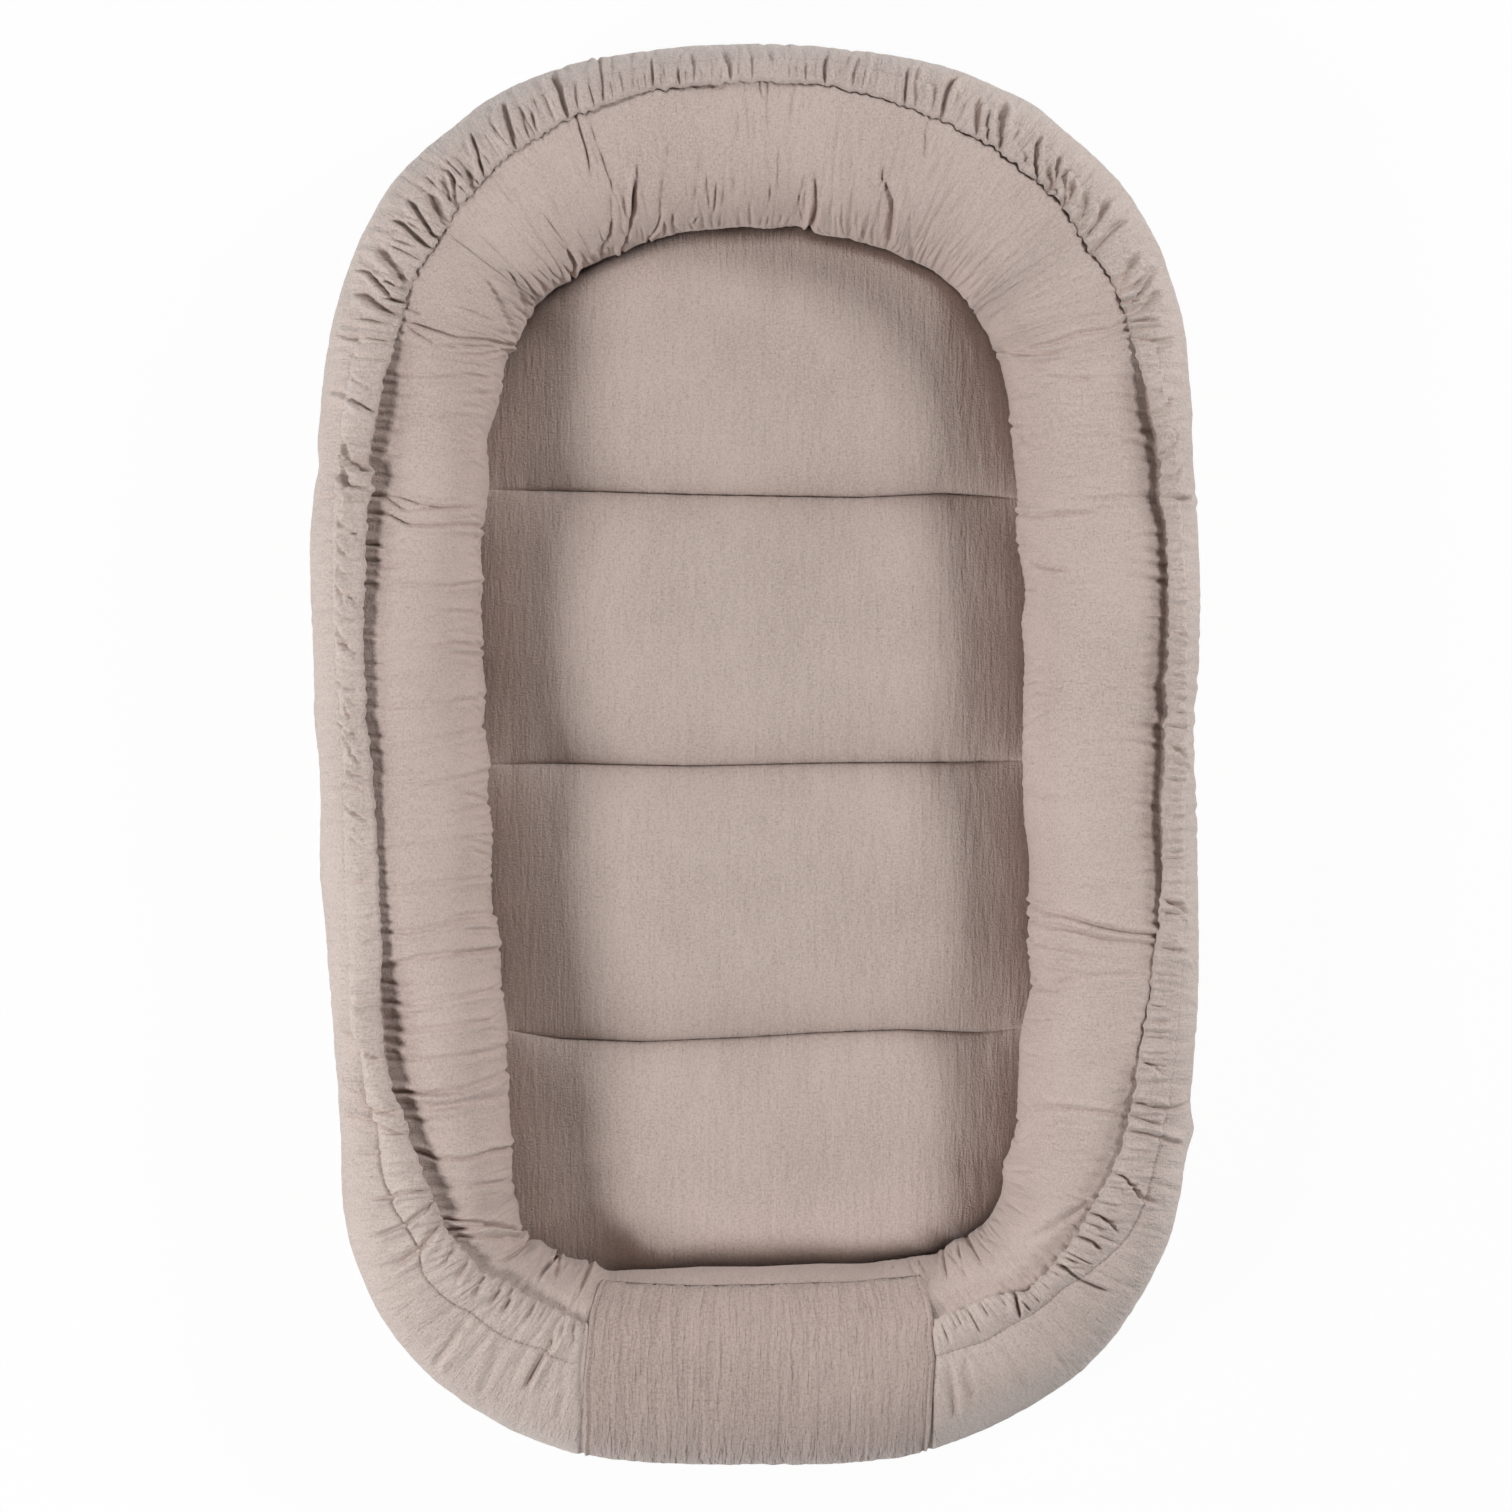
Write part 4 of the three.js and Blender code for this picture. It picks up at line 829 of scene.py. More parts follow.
def new_piece(name, points, faces, corners, material, body, replaced):
    """A smooth piece from points, faces of four and their texture corners, all in mm."""
    mesh = bpy.data.meshes.new(name)
    points = np.asarray(points, float).reshape(-1, 3) * METRE
    faces = np.asarray(faces, np.int32).reshape(-1, 4)
    mesh.vertices.add(len(points))
    mesh.vertices.foreach_set("co", points.astype(np.float32).ravel())
    mesh.loops.add(faces.size)
    mesh.loops.foreach_set("vertex_index", faces.ravel())
    mesh.polygons.add(len(faces))
    mesh.polygons.foreach_set("loop_start", np.arange(len(faces), dtype=np.int32) * 4)
    mesh.update(calc_edges=True)
    mesh.validate()
    layer = mesh.uv_layers.new(name="UVMap")
    corners = np.asarray(corners, float).reshape(-1, 2) * METRE
    layer.data.foreach_set("uv", corners.astype(np.float32).ravel())
    mesh.polygons.foreach_set("use_smooth", np.ones(len(mesh.polygons), bool))
    mesh.materials.append(material)
    piece = bpy.data.objects.new(name, mesh)
    bpy.context.scene.collection.objects.link(piece)
    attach(piece, body)
    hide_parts(*replaced)
    return piece


def grid_faces(rows, columns, wrap_rows=False, wrap_columns=False, flip=False):
    """Faces of a grid of points, and for each corner its row and column before wrapping."""
    row = np.arange(rows if wrap_rows else rows - 1)
    column = np.arange(columns if wrap_columns else columns - 1)
    row, column = np.meshgrid(row, column, indexing="ij")
    corner_rows = np.stack([row, row + 1, row + 1, row], axis=-1).reshape(-1, 4)
    corner_columns = np.stack([column, column, column + 1, column + 1], axis=-1).reshape(-1, 4)
    if flip:
        corner_rows = corner_rows[:, ::-1]
        corner_columns = corner_columns[:, ::-1]
    faces = (corner_rows % rows) * columns + corner_columns % columns
    return faces, corner_rows, corner_columns


def ring_piece(name, points, u, a, closed_section, material, replaced, closed_ring=True):
    """A piece from a grid of points whose rows go round the ring and whose columns cross it."""
    rows, columns = points.shape[:2]
    faces, at_rows, at_columns = grid_faces(rows, columns, closed_ring, closed_section)
    long_u = np.append(u, u[0] + AROUND)
    across = np.concatenate([a, 2 * a[:, -1:] - a[:, -2:-1]], axis=1)
    corners = np.stack([long_u[at_rows], across[at_rows % rows, at_columns]], axis=-1)
    return new_piece(name, points, faces, corners, material, "nest", replaced)


def plan_piece(name, points, wrap_columns, material, body, replaced, flip=False):
    """A piece from rings of points, with a texture that lies flat on the plan."""
    faces, _, _ = grid_faces(points.shape[0], points.shape[1], True, wrap_columns, flip)
    corners = points.reshape(-1, 3)[faces.ravel()][:, :2]
    return new_piece(name, points, faces, corners, material, body, replaced)


# A stitch: its length and the space after it, and the shape of its thread along it, as shares of its radius
STITCH_LENGTH = 2.5
STITCH_SPACE = 0.9
STITCH_SHARES = np.array([0, 0.14, 0.5, 0.86, 1])
STITCH_GIRTHS = np.array([0.35, 0.9, 1, 0.9, 0.35])
STITCH_LIFTS = np.array([-0.5, 0.15, 0.45, 0.15, -0.5])
STITCH_SIDES = 6


def stitches(name, path, up, radius, body, replaced, length=STITCH_LENGTH, space=STITCH_SPACE):
    """A row of single sewn stitches along a path of points."""
    path = np.asarray(path, float)
    steps = lengths_along(path)
    turns = (np.arange(STITCH_SIDES) * 2 * math.pi / STITCH_SIDES)[None, :, None]
    base, _, _ = grid_faces(len(STITCH_SHARES), STITCH_SIDES, False, True)
    points = []
    faces = []
    for index in range(int(steps[-1] / (length + space))):
        at = index * (length + space) + STITCH_SHARES * length
        centre = np.stack([np.interp(at, steps, path[:, axis]) for axis in range(3)], axis=-1)
        lift = np.stack([np.interp(at, steps, up[:, axis]) for axis in range(3)], axis=-1)
        lift /= np.linalg.norm(lift, axis=1)[:, None]
        ahead = centre[-1] - centre[0]
        side = np.cross(ahead / np.linalg.norm(ahead), lift)
        side /= np.linalg.norm(side, axis=1)[:, None]
        centre = centre + lift * STITCH_LIFTS[:, None] * radius
        outward = side[:, None] * np.cos(turns) + lift[:, None] * np.sin(turns)
        ring = centre[:, None] + STITCH_GIRTHS[:, None, None] * radius * outward
        points.append(ring.reshape(-1, 3))
        faces.append(base + index * len(STITCH_SHARES) * STITCH_SIDES)
    points = np.concatenate(points)
    faces = np.concatenate(faces)
    corners = points[faces.ravel()][:, :2]
    return new_piece(name, points, faces, corners, thread, body, replaced)


# Bolster
roll_u = spaced(0, AROUND, 0.95, 1.4)[:-1]
calm_hem = on_ring(smooth_ring(hem_a, 5), roll_u)[:, None]
ROLL_BOUNDS = (-62, 0, calm_hem - 6, calm_hem + 12, INNER_A + 14, INNER_A + 78)
ROLL_COUNTS = (7, 9, 20, 58, 10)
roll_columns = []
for low, high, count in zip(ROLL_BOUNDS, ROLL_BOUNDS[1:], ROLL_COUNTS):
    roll_columns.append(low + (high - low) * np.arange(count) / count + 0 * calm_hem)
roll_a = np.concatenate([*roll_columns, ROLL_BOUNDS[-1] + 0 * calm_hem], axis=1)

roll_folds = []
for us, places, depth, width, side in placed_folds(ROLL_FOLDS, ROLL_SKIN):
    at_pad = max(places) > INNER_A - 22
    at_hem = min(places) < on_ring(hem_a, us[int(np.argmin(places))]) + 8
    if at_pad:
        last = int(np.argmax(places))
        us = [*us, us[last]]
        places = [*places, max(places[last], INNER_A) + 26]
    if at_hem:
        first = int(np.argmin(places))
        us = [us[first], *us]
        places = [places[first] - 12, *places]
    # Wrinkles are deeper along the long sides, and where the cloth bunches up in the lower left corner
    bunched = math.exp(-(((us[0] / AROUND - 0.9) / 0.055) ** 4))
    depth *= 1 + 0.6 * float(on_ring(long_sides, us[0])) + 1.0 * bunched
    roll_folds.append((us, places, depth, 0.7 * width, side, at_hem, at_pad))


def off_foot(place):
    """From 0 under the foot panel to 1 away from it."""
    return 1 - math.exp(-((min(place, AROUND - place) / FOOT_COVERED) ** 6))


def wrinkle_from_pad(random, place):
    start = INNER_A + random.uniform(-4, 20)
    gain = off_foot(place) * (1 + 1.5 * float(on_ring(long_sides, place)))
    return drawn_fold(random, place, start, -1, (22, 70), 5, (0.3, 0.9), (0.9, 2.0), gain, 0.3)


def wrinkle_over_head(random, place):
    start = float(on_ring(hem_a, place)) + random.uniform(-8, 70)
    ends = (False, False)
    return drawn_fold(random, place, start, 1, (25, 80), 6, (0.25, 0.95), (0.8, 1.7), bow=0.4, ends=ends)


def wrinkle_beside_hem(random, place):
    hem = float(on_ring(hem_a, place))
    stand = float(on_ring(hem_stand, place))
    length = random.uniform(6, 12) + random.uniform(0.4, 1.6) * stand
    lean = random.normal(0, 2)
    size = random.uniform(0.2, 0.6) + 0.12 * stand * random.uniform(0, 1)
    broad = random.uniform(1.2, 2.4)
    facing = int(random.choice([-1, 0, 1]))
    return [place, place + lean], [hem - 8, hem + length], size * off_foot(place), broad, facing, True, False


# Finer wrinkles: from the pad's side, all over the head end, and short ones in the shade beside the hem
random = seeded(1)
fine_folds = scattered(random, 0.0, AROUND, wrinkle_from_pad, (3.5, 9))
fine_folds += scattered(random, 0.33 * AROUND, 0.67 * AROUND, wrinkle_over_head, (1.6, 4.5))
fine_folds += scattered(random, 0.0, AROUND, wrinkle_beside_hem, (5, 14))

around_roll = roll_u[:, None]
roll_noise = [(1.3, 95, 70, 11), (0.7, 34, 60, 12), (0.36, 9, 34, 13), (0.15, 3.6, 14, 14)]
roll_height = add_folds(ring_noise(around_roll, roll_a, roll_noise), roll_u, roll_a, fine_folds)
# At the inner edge the fine wrinkles are pulled flat
inner_edge = smoothstep((roll_a - INNER_A + 20) / 14)
roll_height *= 1 - 0.75 * inner_edge
roll_height += (1 - 0.35 * inner_edge) * add_folds(np.zeros_like(roll_a), roll_u, roll_a, roll_folds)
roll_height += inner_edge * ring_noise(around_roll, roll_a, [(1.1, 21, 60, 15)])
beyond = roll_a - on_ring(hem_a, roll_u)[:, None]
roll_height *= 1 - 0.6 * (beyond < -6)
# Under the cover the bolster gives way, so that the pleats have room
roll_height -= 4 * smoothstep((-beyond - 8) / 8)
panel_foot = np.exp(-((np.minimum(roll_u, AROUND - roll_u)[:, None] / FOOT_COVERED) ** 8))
roll_height *= 1 - 0.85 * panel_foot
# The elastic presses a furrow into the bolster beside the hem. Elsewhere the bolster swells up to the hem
stand = on_ring(hem_stand, roll_u)[:, None]
swelling = np.maximum(OWN_STEP - stand, 0) * (1 - smoothstep((roll_a - INNER_A + 25) / 60))
pressed = np.maximum(stand - 0.6 * OWN_STEP, 0)
furrow = 3 + 0.9 * stand
swelling -= 0.72 * pressed * np.exp(-((np.maximum(beyond, 0) / furrow) ** 3))
swelling += 0.25 * pressed * np.exp(-(((beyond - 2.4 * furrow) / (1.3 * furrow)) ** 2))
# The furrow begins under the casing's edge
start = 2 + 6 * np.clip(pressed / 3, 0, 1)
roll_height += (1 - panel_foot) * swelling * smoothstep((beyond + start) / 4)
roll_height -= (1 - panel_foot) * 1.3 * np.exp(-pressed - (beyond / 1.5) ** 2)
roll_points = lay(around_roll, roll_a, ROLL_SKIN + roll_height)
roll = ring_piece(
    "bolster", roll_points, roll_u, roll_a, True, plain, ["bumper_cover", "bumper_fill"]
)


# Fitted cover and casing, which run on a little under the foot panel at both ends
def edge_line(pixels):
    """An edge of the foot panel, as x at a way over the section."""
    marks = []
    for px, py in pixels:
        u, a = surface_place(px, py, COVER_SKIN)
        _, level = section(np.array([u]), theta_of(np.array([a])), COVER_SKIN)
        marks.append((a, photo_point(px, py, float(level[0]))[0]))
    return np.array(sorted(marks))


panel_left = edge_line(PANEL_LEFT)
panel_right = edge_line(PANEL_RIGHT)
UNDER_PANEL = 32
cover_first = surface_place(*COVER_ENDS[0], COVER_SKIN)[0] - UNDER_PANEL
cover_last = surface_place(*COVER_ENDS[1], COVER_SKIN)[0] + UNDER_PANEL
cover_u = spaced(cover_first, cover_last, 0.68, 1.1)
around_cover = cover_u[:, None]
cover_hem = on_ring(hem_a, around_cover)
cover_stitch = on_ring(stitch_a, around_cover)
shows = on_ring(stitch_shows, around_cover)


def off_panel(a):
    """How far outside the foot panel's sides a point of the cover lies, in mm."""
    x = at_depth(around_cover, section(around_cover, theta_of(a), COVER_SKIN)[0], 0)[..., 0]
    right = x - np.interp(a, panel_right[:, 0], panel_right[:, 1])
    left = np.interp(a, panel_left[:, 0], panel_left[:, 1]) - x
    off = np.where(around_cover < AROUND / 2, right, left)
    return np.where(np.abs(around_cover - AROUND / 2) < AROUND / 4, 99.0, off)


def settle(height, a, rise):
    """Brings the cover down to the panel's seam beside it, and lower under it."""
    off = off_panel(a)
    near = np.exp(-((np.maximum(off, 0) / 9) ** 2))
    height = (height + rise) * (1 - 0.75 * near) - 0.4 * near
    height -= (0.9 + 1.5 * smoothstep((a - 6) / 20)) * np.exp(-(((off - 0.4) / 1.8) ** 2))
    under = 1 - smoothstep(off / 4 + 0.9)
    return height * (1 - 0.9 * under) - 3.6 * under


cover_folds = []
for us, places, depth, width, side in placed_folds(COVER_FOLDS, COVER_SKIN):
    top = int(np.argmax(places))
    at_hem = places[top] > on_ring(hem_a, us[top]) - 9
    if at_hem:
        us = [us[top], *us]
        places = [on_ring(hem_a, us[0]) + 12, *places]
    # Pleats that lie along the light are deeper, to show as plainly
    share = us[0] / AROUND
    along_light = 0.20 < share < 0.46 or 0.79 < share < 0.92
    gain = 2.2 if 0.34 < share < 0.46 else (1.75 if along_light else 1.15)
    cover_folds.append((us, places, gain * depth, width, side, False, at_hem))
cover_laps = placed_folds(COVER_LAPS, COVER_SKIN)


def casing_gather(random, place):
    hem = float(on_ring(hem_a, place))
    sewn = float(on_ring(stitch_a, place))
    beside = float(on_ring(long_sides, place))
    corner = sum(math.exp(-(((place / AROUND - share) / 0.055) ** 2)) for share in (0.40, 0.60))
    foot = float(place / AROUND < 0.19 or place / AROUND > 0.81)
    length = random.uniform(0.45, 1.0) * (hem - sewn) + corner * random.uniform(0, 16)
    size = random.uniform(0.4, 1.2) * (0.9 + 1.5 * beside + 0.6 * corner + 0.8 * foot)
    lean = random.normal(0, 1.5) + 3.0 * beside * (1 if place > AROUND / 2 else -1)
    broad = random.uniform(0.8, 1.7)
    facing = int(random.choice([-1, 1]))
    return [place, place + lean], [hem + 8, hem - length], size, broad, facing, False, True


def slanting_dash(random, place):
    hem = float(on_ring(hem_a, place))
    us = [place, place + random.uniform(4, 14)]
    places = [hem - random.uniform(12, 22), hem - random.uniform(2, 8)]
    size = random.uniform(1.4, 4.0) * (1 - smoothstep((place / AROUND - 0.755) / 0.025))
    return us, places, float(size), random.uniform(1.2, 2.4), -1, False, False


def wrinkle_from_stitches(random, place):
    sewn = float(on_ring(stitch_a, place))
    return drawn_fold(random, place, sewn, -1, (16, 48), 4, (0.25, 0.8), (1.8, 3.6))


def wrinkle_from_base(random, place):
    low = LOW_A + 2 + random.uniform(-4, 4)
    return drawn_fold(random, place, low, 1, (14, 42), 5, (0.3, 1.1), (1.8, 3.8), ends=(True, False))


# Gathers of the casing, dashes that the elastic draws in its left side, and wrinkles of the wall
random = seeded(2)
cover_folds += scattered(random, cover_first, cover_last, casing_gather, (3, 8))
cover_folds += scattered(random, 0.69 * AROUND, 0.78 * AROUND, slanting_dash, (4, 17))
cover_folds += scattered(random, cover_first, cover_last, wrinkle_from_stitches, (6, 14))
cover_folds += scattered(random, cover_first, cover_last, wrinkle_from_base, (6, 14))


def cover_relief(a):
    """Height of the cover's cloth, drawn down into the line of the casing's stitches."""
    layers = [(0.6, 80, 60, 21), (0.5, 26, 40, 22), (0.28, 7, 26, 23), (0.16, 3, 12, 24)]
    height = add_laps(ring_noise(around_cover, a, layers) - 0.6, cover_u, a, cover_laps)
    height = add_folds(height, cover_u, a, cover_folds)
    off = (a - cover_stitch) ** 2
    height = height * (1 - 0.4 * shows * np.exp(-off / 5))
    return height - (0.25 + 0.9 * shows) * np.exp(-off / 0.9) - 0.5 * shows * np.exp(-off / 8)


def low_rows(u, depths):
    """Two rows under the bolster's bulge, down to the base seam, at those depths."""
    return [at_depth(u, depth, level)[:, None] for depth, level in zip(depths, LOW_LEVELS)]


wall_shares = 1 - np.linspace(1, 0, 64) ** 1.5
wall_a = LOW_A + (cover_stitch - LOW_A) * wall_shares
bulges = [(ring_place(*photo_point(*pixel, WIDEST_LEVEL))[0], bulge) for pixel, bulge in WALL_BULGES]
bulge = on_ring(ring_values(bulges, 4), around_cover)
wall_height = cover_relief(wall_a) + bulge * np.exp(-(((wall_a + 2) / 24) ** 2))
wall_points = lay(around_cover, wall_a, COVER_SKIN + settle(wall_height, wall_a, 0))
wall_points = np.concatenate([*low_rows(cover_u, (BASE_INSET - 0.6, BASE_INSET - 1.4)), wall_points], axis=1)
wall_uv = np.concatenate([wall_a[:, :1] - 14, wall_a[:, :1] - 8, wall_a], axis=1)
wall = ring_piece(
    "fitted_cover", wall_points, cover_u, wall_uv, False, muslin, ["outer_cover"], False
)

# Casing: over the top from the stitches, round the hem and back underneath
CASING_ROWS = 24
cover_lift = on_ring(hem_lift, around_cover)
hem_round = 1.4 + 0.35 * cover_lift
casing_shares = np.linspace(0, 1, CASING_ROWS) ** 1.3
top_a = cover_stitch + (cover_hem - hem_round - cover_stitch) * casing_shares
puff = 0.6 + 1.2 * shows + 0.5 * cover_lift
casing_rise = puff * np.sin(math.pi * casing_shares) ** 0.8 + cover_lift * smoothstep(casing_shares * 1.4)
# The elastic draws the pleats nearly flat at the very edge
pulled_flat = 1 - 0.55 * np.exp(-(((cover_hem - top_a) / 3.5) ** 2))
top_offset = COVER_SKIN + settle(cover_relief(top_a) * pulled_flat, top_a, casing_rise)
edge_a = top_a[:, -1:]
edge_offset = top_offset[:, -1:]
turns = np.radians(np.array([28, 56, 90, 124, 152, 180]))
turn_offset = edge_offset - (0.62 * (edge_offset + 0.6)) * (1 - np.cos(turns)) / 2
back_shares = np.array([0.75, 0.45, 0.12])
back_a = cover_stitch + (edge_a - cover_stitch) * back_shares
back_offset = np.minimum(turn_offset[:, -1:], 1.6 + 0 * back_a)
casing_a = np.concatenate([top_a, edge_a + hem_round * np.sin(turns), back_a], axis=1)
casing_offset = np.concatenate([top_offset, turn_offset, back_offset], axis=1)
casing_points = lay(around_cover, casing_a, casing_offset)
turned_in = 3.0 * np.arange(1, len(turns) + len(back_shares) + 1)
casing_uv = np.concatenate([top_a, edge_a + turned_in], axis=1)
casing = ring_piece(
    "elastic_hem", casing_points, cover_u, casing_uv, False, muslin,
    ["elastic_casing", "elastic_band"], False,
)
sewn_a = top_a[:, 1:2]
sewn_offset = top_offset[:, 1:2]
stitch_path = lay(around_cover, sewn_a, sewn_offset - 0.25 + 0.15 * shows)[:, 0]
stitch_up = casing_points[:, 1] - lay(around_cover, sewn_a, sewn_offset - 3)[:, 0]
outside_panel = off_panel(sewn_a)[:, 0] > 1
casing_stitches = stitches(
    "casing_stitches", stitch_path[outside_panel], stitch_up[outside_panel], 0.3, "nest",
    ["casing_stitching"],
)

# Foot panel: columns from its left side to its right, rows from the base seam to its inner end
PANEL_COLUMNS = 330
PANEL_ROWS = 130
PANEL_WIDTH = 214.0
SEAM_IN = 3.6
panel_shares = np.linspace(0, 1, PANEL_COLUMNS)
end_x = [photo_point(px, py, PANEL_END_LEVEL)[0] for px, py in PANEL_TOP]
end_a = [surface_place(px, py, COVER_SKIN)[1] for px, py in PANEL_TOP]
panel_end = np.interp(np.linspace(end_x[0], end_x[-1], PANEL_COLUMNS), end_x, end_a)[:, None]
panel_a = LOW_A + (panel_end - LOW_A) * np.linspace(0, 1, PANEL_ROWS)
foot_u = np.linspace(-260, 260, 1041)
panel_u = np.zeros_like(panel_a)
for row in range(PANEL_ROWS):
    row_a = panel_a[:, row]
    left = np.interp(row_a, panel_left[:, 0], panel_left[:, 1])
    right = np.interp(row_a, panel_right[:, 0], panel_right[:, 1])
    foot_x = lay(foot_u, np.full_like(foot_u, float(np.mean(row_a))), COVER_SKIN)[:, 0]
    panel_u[:, row] = np.interp(left + (right - left) * panel_shares, foot_x, foot_u)

panel_x = panel_shares[:, None] * PANEL_WIDTH + 0 * panel_a
from_edge = np.minimum(panel_x, PANEL_WIDTH - panel_x)
from_end = panel_end - panel_a
panel_height = ring_noise(panel_x, panel_a, [(0.45, 2.6, 26, 31), (0.55, 6.5, 60, 32), (0.35, 22, 50, 33)])
panel_height = panel_height * (0.35 + 0.65 * smoothstep((panel_a - 4) / 26)) - 0.3
# Its turned sides, their stitched line, the crease beside them, and its end
panel_height += 0.7 * np.exp(-((from_edge / 2.6) ** 2)) * (1 - np.exp(-((from_edge / 0.8) ** 2)))
panel_height -= 0.8 * np.exp(-(((from_edge - SEAM_IN) / 0.9) ** 2))
panel_height -= 2.2 * np.exp(-((from_edge / 1.0) ** 2))
panel_height -= 1.4 * np.exp(-((from_end / 2.0) ** 2))
panel_height += 0.9 * np.exp(-(((from_end - 6) / 5.0) ** 2))
over_bolster = smoothstep((panel_a - on_ring(hem_a, panel_u) + 4) / 16)
panel_top = lay(panel_u, panel_a, COVER_SKIN - 0.7 - 0.4 * over_bolster + panel_height)
end_u = panel_u[:, -1:]
end_turn = [
    lay(end_u, panel_end + 1.4, np.full_like(end_u, ROLL_SKIN + 0.9)),
    lay(end_u, panel_end - 4, np.full_like(end_u, ROLL_SKIN + 0.6)),
]
panel_low = low_rows(panel_u[:, 0], (BASE_INSET - 0.8, BASE_INSET - 1.8))
panel_points = np.concatenate([*panel_low, panel_top, *end_turn], axis=1)
panel_uv_a = np.concatenate(
    [panel_a[:, :1] - 14, panel_a[:, :1] - 8, panel_a, panel_end + 3, panel_end + 7], axis=1
)


def turned_side(column, inner):
    """The side of the panel turned down to the bolster's cloth."""
    edge = panel_points[column]
    down = edge + (panel_points[inner] - edge) * 0.25
    side_a = panel_a[column][:, None]
    down[2:-2] = lay(panel_u[column][:, None], side_a, np.full_like(side_a, ROLL_SKIN + 0.8))[:, 0]
    return down[None]


panel_points = np.concatenate([turned_side(0, 3), panel_points, turned_side(-1, -4)], axis=0)
panel_uv_a = np.concatenate([panel_uv_a[:1], panel_uv_a, panel_uv_a[-1:]], axis=0)
panel_uv_x = np.concatenate([[-3.0], panel_shares * PANEL_WIDTH, [PANEL_WIDTH + 3.0]])
faces, at_rows, at_columns = grid_faces(panel_points.shape[0], panel_points.shape[1])
corners = np.stack([panel_uv_x[at_rows], panel_uv_a[at_rows, at_columns]], axis=-1)
panel = new_piece("foot_flap", panel_points, faces, corners, flap_muslin, "nest", ["foot_panel"])

seam_column = int(round(SEAM_IN / PANEL_WIDTH * (PANEL_COLUMNS - 1))) + 1
for side, column in (("left", seam_column), ("right", panel_points.shape[0] - 1 - seam_column)):
    path = panel_points[column, 3:-3]
    across = panel_points[column + 1, 3:-3] - panel_points[column - 1, 3:-3]
    up = np.cross(across, np.gradient(path, axis=0))
    name = f"foot_flap_stitches_{side}"
    stitches(name, path, up, 0.28, "nest", [f"foot_seam_{side}"])


# Base
BASE_STEPS = 420
WELT_STEPS = 900
MIDDLE_LINE = 200


def disc(name, inset, levels, material, replaced):
    """A thin plate inside the plan. Levels are (share of the way in to the middle line, level)."""
    u = np.arange(BASE_STEPS) * AROUND / BASE_STEPS
    edge = at_depth(u, inset, 0.0)
    spine = np.stack([0 * u, np.clip(on_ring(ring_y, u), -MIDDLE_LINE, MIDDLE_LINE), 0 * u], axis=-1)
    points = np.stack([edge + (spine - edge) * share + [0, 0, level] for share, level in levels], axis=1)
    return plan_piece(name, points, False, material, "nest", replaced)


base_underside = disc(
    "base_underside", BASE_INSET,
    [(1, 0.05), (0.7, 0.05), (0.4, 0.05), (0.1, 0.05), (0.02, 0.1), (0, 0.6), (0, 1.6), (0.02, 1.9),
     (0.3, 1.9)],
    muslin, ["base_cloth", "base_wadding"],
)
base_inner_lining = disc(
    "base_inner_lining", BASE_INSET + 3,
    [(0.02, 2.4), (0, 3.5), (0, 6), (0.02, 7.2), (0.1, 7.4), (0.4, 7.4), (1, 7.4)],
    plain, ["base_lining"],
)
welt_u = np.arange(WELT_STEPS) * AROUND / WELT_STEPS
bead_turns = np.arange(8) * math.pi / 4
welt_points = at_depth(welt_u[:, None], BASE_INSET - 0.9 + np.cos(bead_turns), 1.5 + np.sin(bead_turns))
welt_a = bead_turns + 0 * welt_u[:, None]
ring_piece("base_welt", welt_points, welt_u, welt_a, True, thread, ["base_seam"])

# Pad: rings of points from its edge to the line down its middle
PAD_TUCK = 5.0
PAD_RIM = 91.0
SPINE_LOW = -235.0
SPINE_HIGH = 225.0
SEWN_DEPTH = 2.2
pad_reach = smooth_ring(roll_reach, 5) - PAD_TUCK
pad_edge_x = ring_x + ring_in_x * pad_reach
pad_edge_y = ring_y + ring_in_y * pad_reach
seam_lines = [np.array([photo_point(px, py, PAD_SEAMS_SEEN) for px, py in line]) for line in PAD_SEAMS]
seam_levels = [float(np.mean(np.interp(np.linspace(-150, 150, 61), m[:, 0], m[:, 1]))) for m in seam_lines]

row_levels = []
at = SPINE_LOW
while at < SPINE_HIGH:
    row_levels.append(at)
    nearest = min(abs(at - level) for level in seam_levels)
    at += 0.35 if nearest < 4 else (0.9 if nearest < 12 else 2.3)
row_levels = np.array([*row_levels, SPINE_HIGH])


def edge_at(level, right):
    side = pad_edge_x > 0 if right else pad_edge_x < 0
    span = np.flatnonzero(side & (pad_edge_y > SPINE_LOW - 8) & (pad_edge_y < SPINE_HIGH + 8))
    order = np.argsort(pad_edge_y[span])
    return np.interp(level, pad_edge_y[span][order], pad_edge_x[span][order])


def end_points(high):
    """Edge points round one end of the pad, anticlockwise."""
    limit = SPINE_HIGH if high else SPINE_LOW
    span = np.flatnonzero(pad_edge_y > limit if high else pad_edge_y < limit)
    points = np.stack([pad_edge_x[span], pad_edge_y[span]], axis=-1)
    points = points[np.argsort(np.arctan2(points[:, 1] - limit, points[:, 0]))]
    steps = lengths_along(points)
    even = np.linspace(0, steps[-1], 150)[1:-1]
    return np.stack([np.interp(even, steps, points[:, axis]) for axis in (0, 1)], axis=-1)


right_side = np.stack([edge_at(row_levels, True), row_levels], axis=-1)
left_side = np.stack([edge_at(row_levels, False), row_levels], axis=-1)[::-1]
pad_edge = np.concatenate([right_side, end_points(True), left_side, end_points(False)])
spine = np.stack([0 * pad_edge[:, 0], np.clip(pad_edge[:, 1], SPINE_LOW, SPINE_HIGH)], axis=-1)
ring_shares = np.linspace(0, 1, 76) ** 1.3
pad_x = pad_edge[:, None, 0] + (spine[:, None, 0] - pad_edge[:, None, 0]) * ring_shares
pad_y = pad_edge[:, None, 1] + (spine[:, None, 1] - pad_edge[:, None, 1]) * ring_shares
pad_in = np.linalg.norm(spine - pad_edge, axis=1)[:, None] * ring_shares
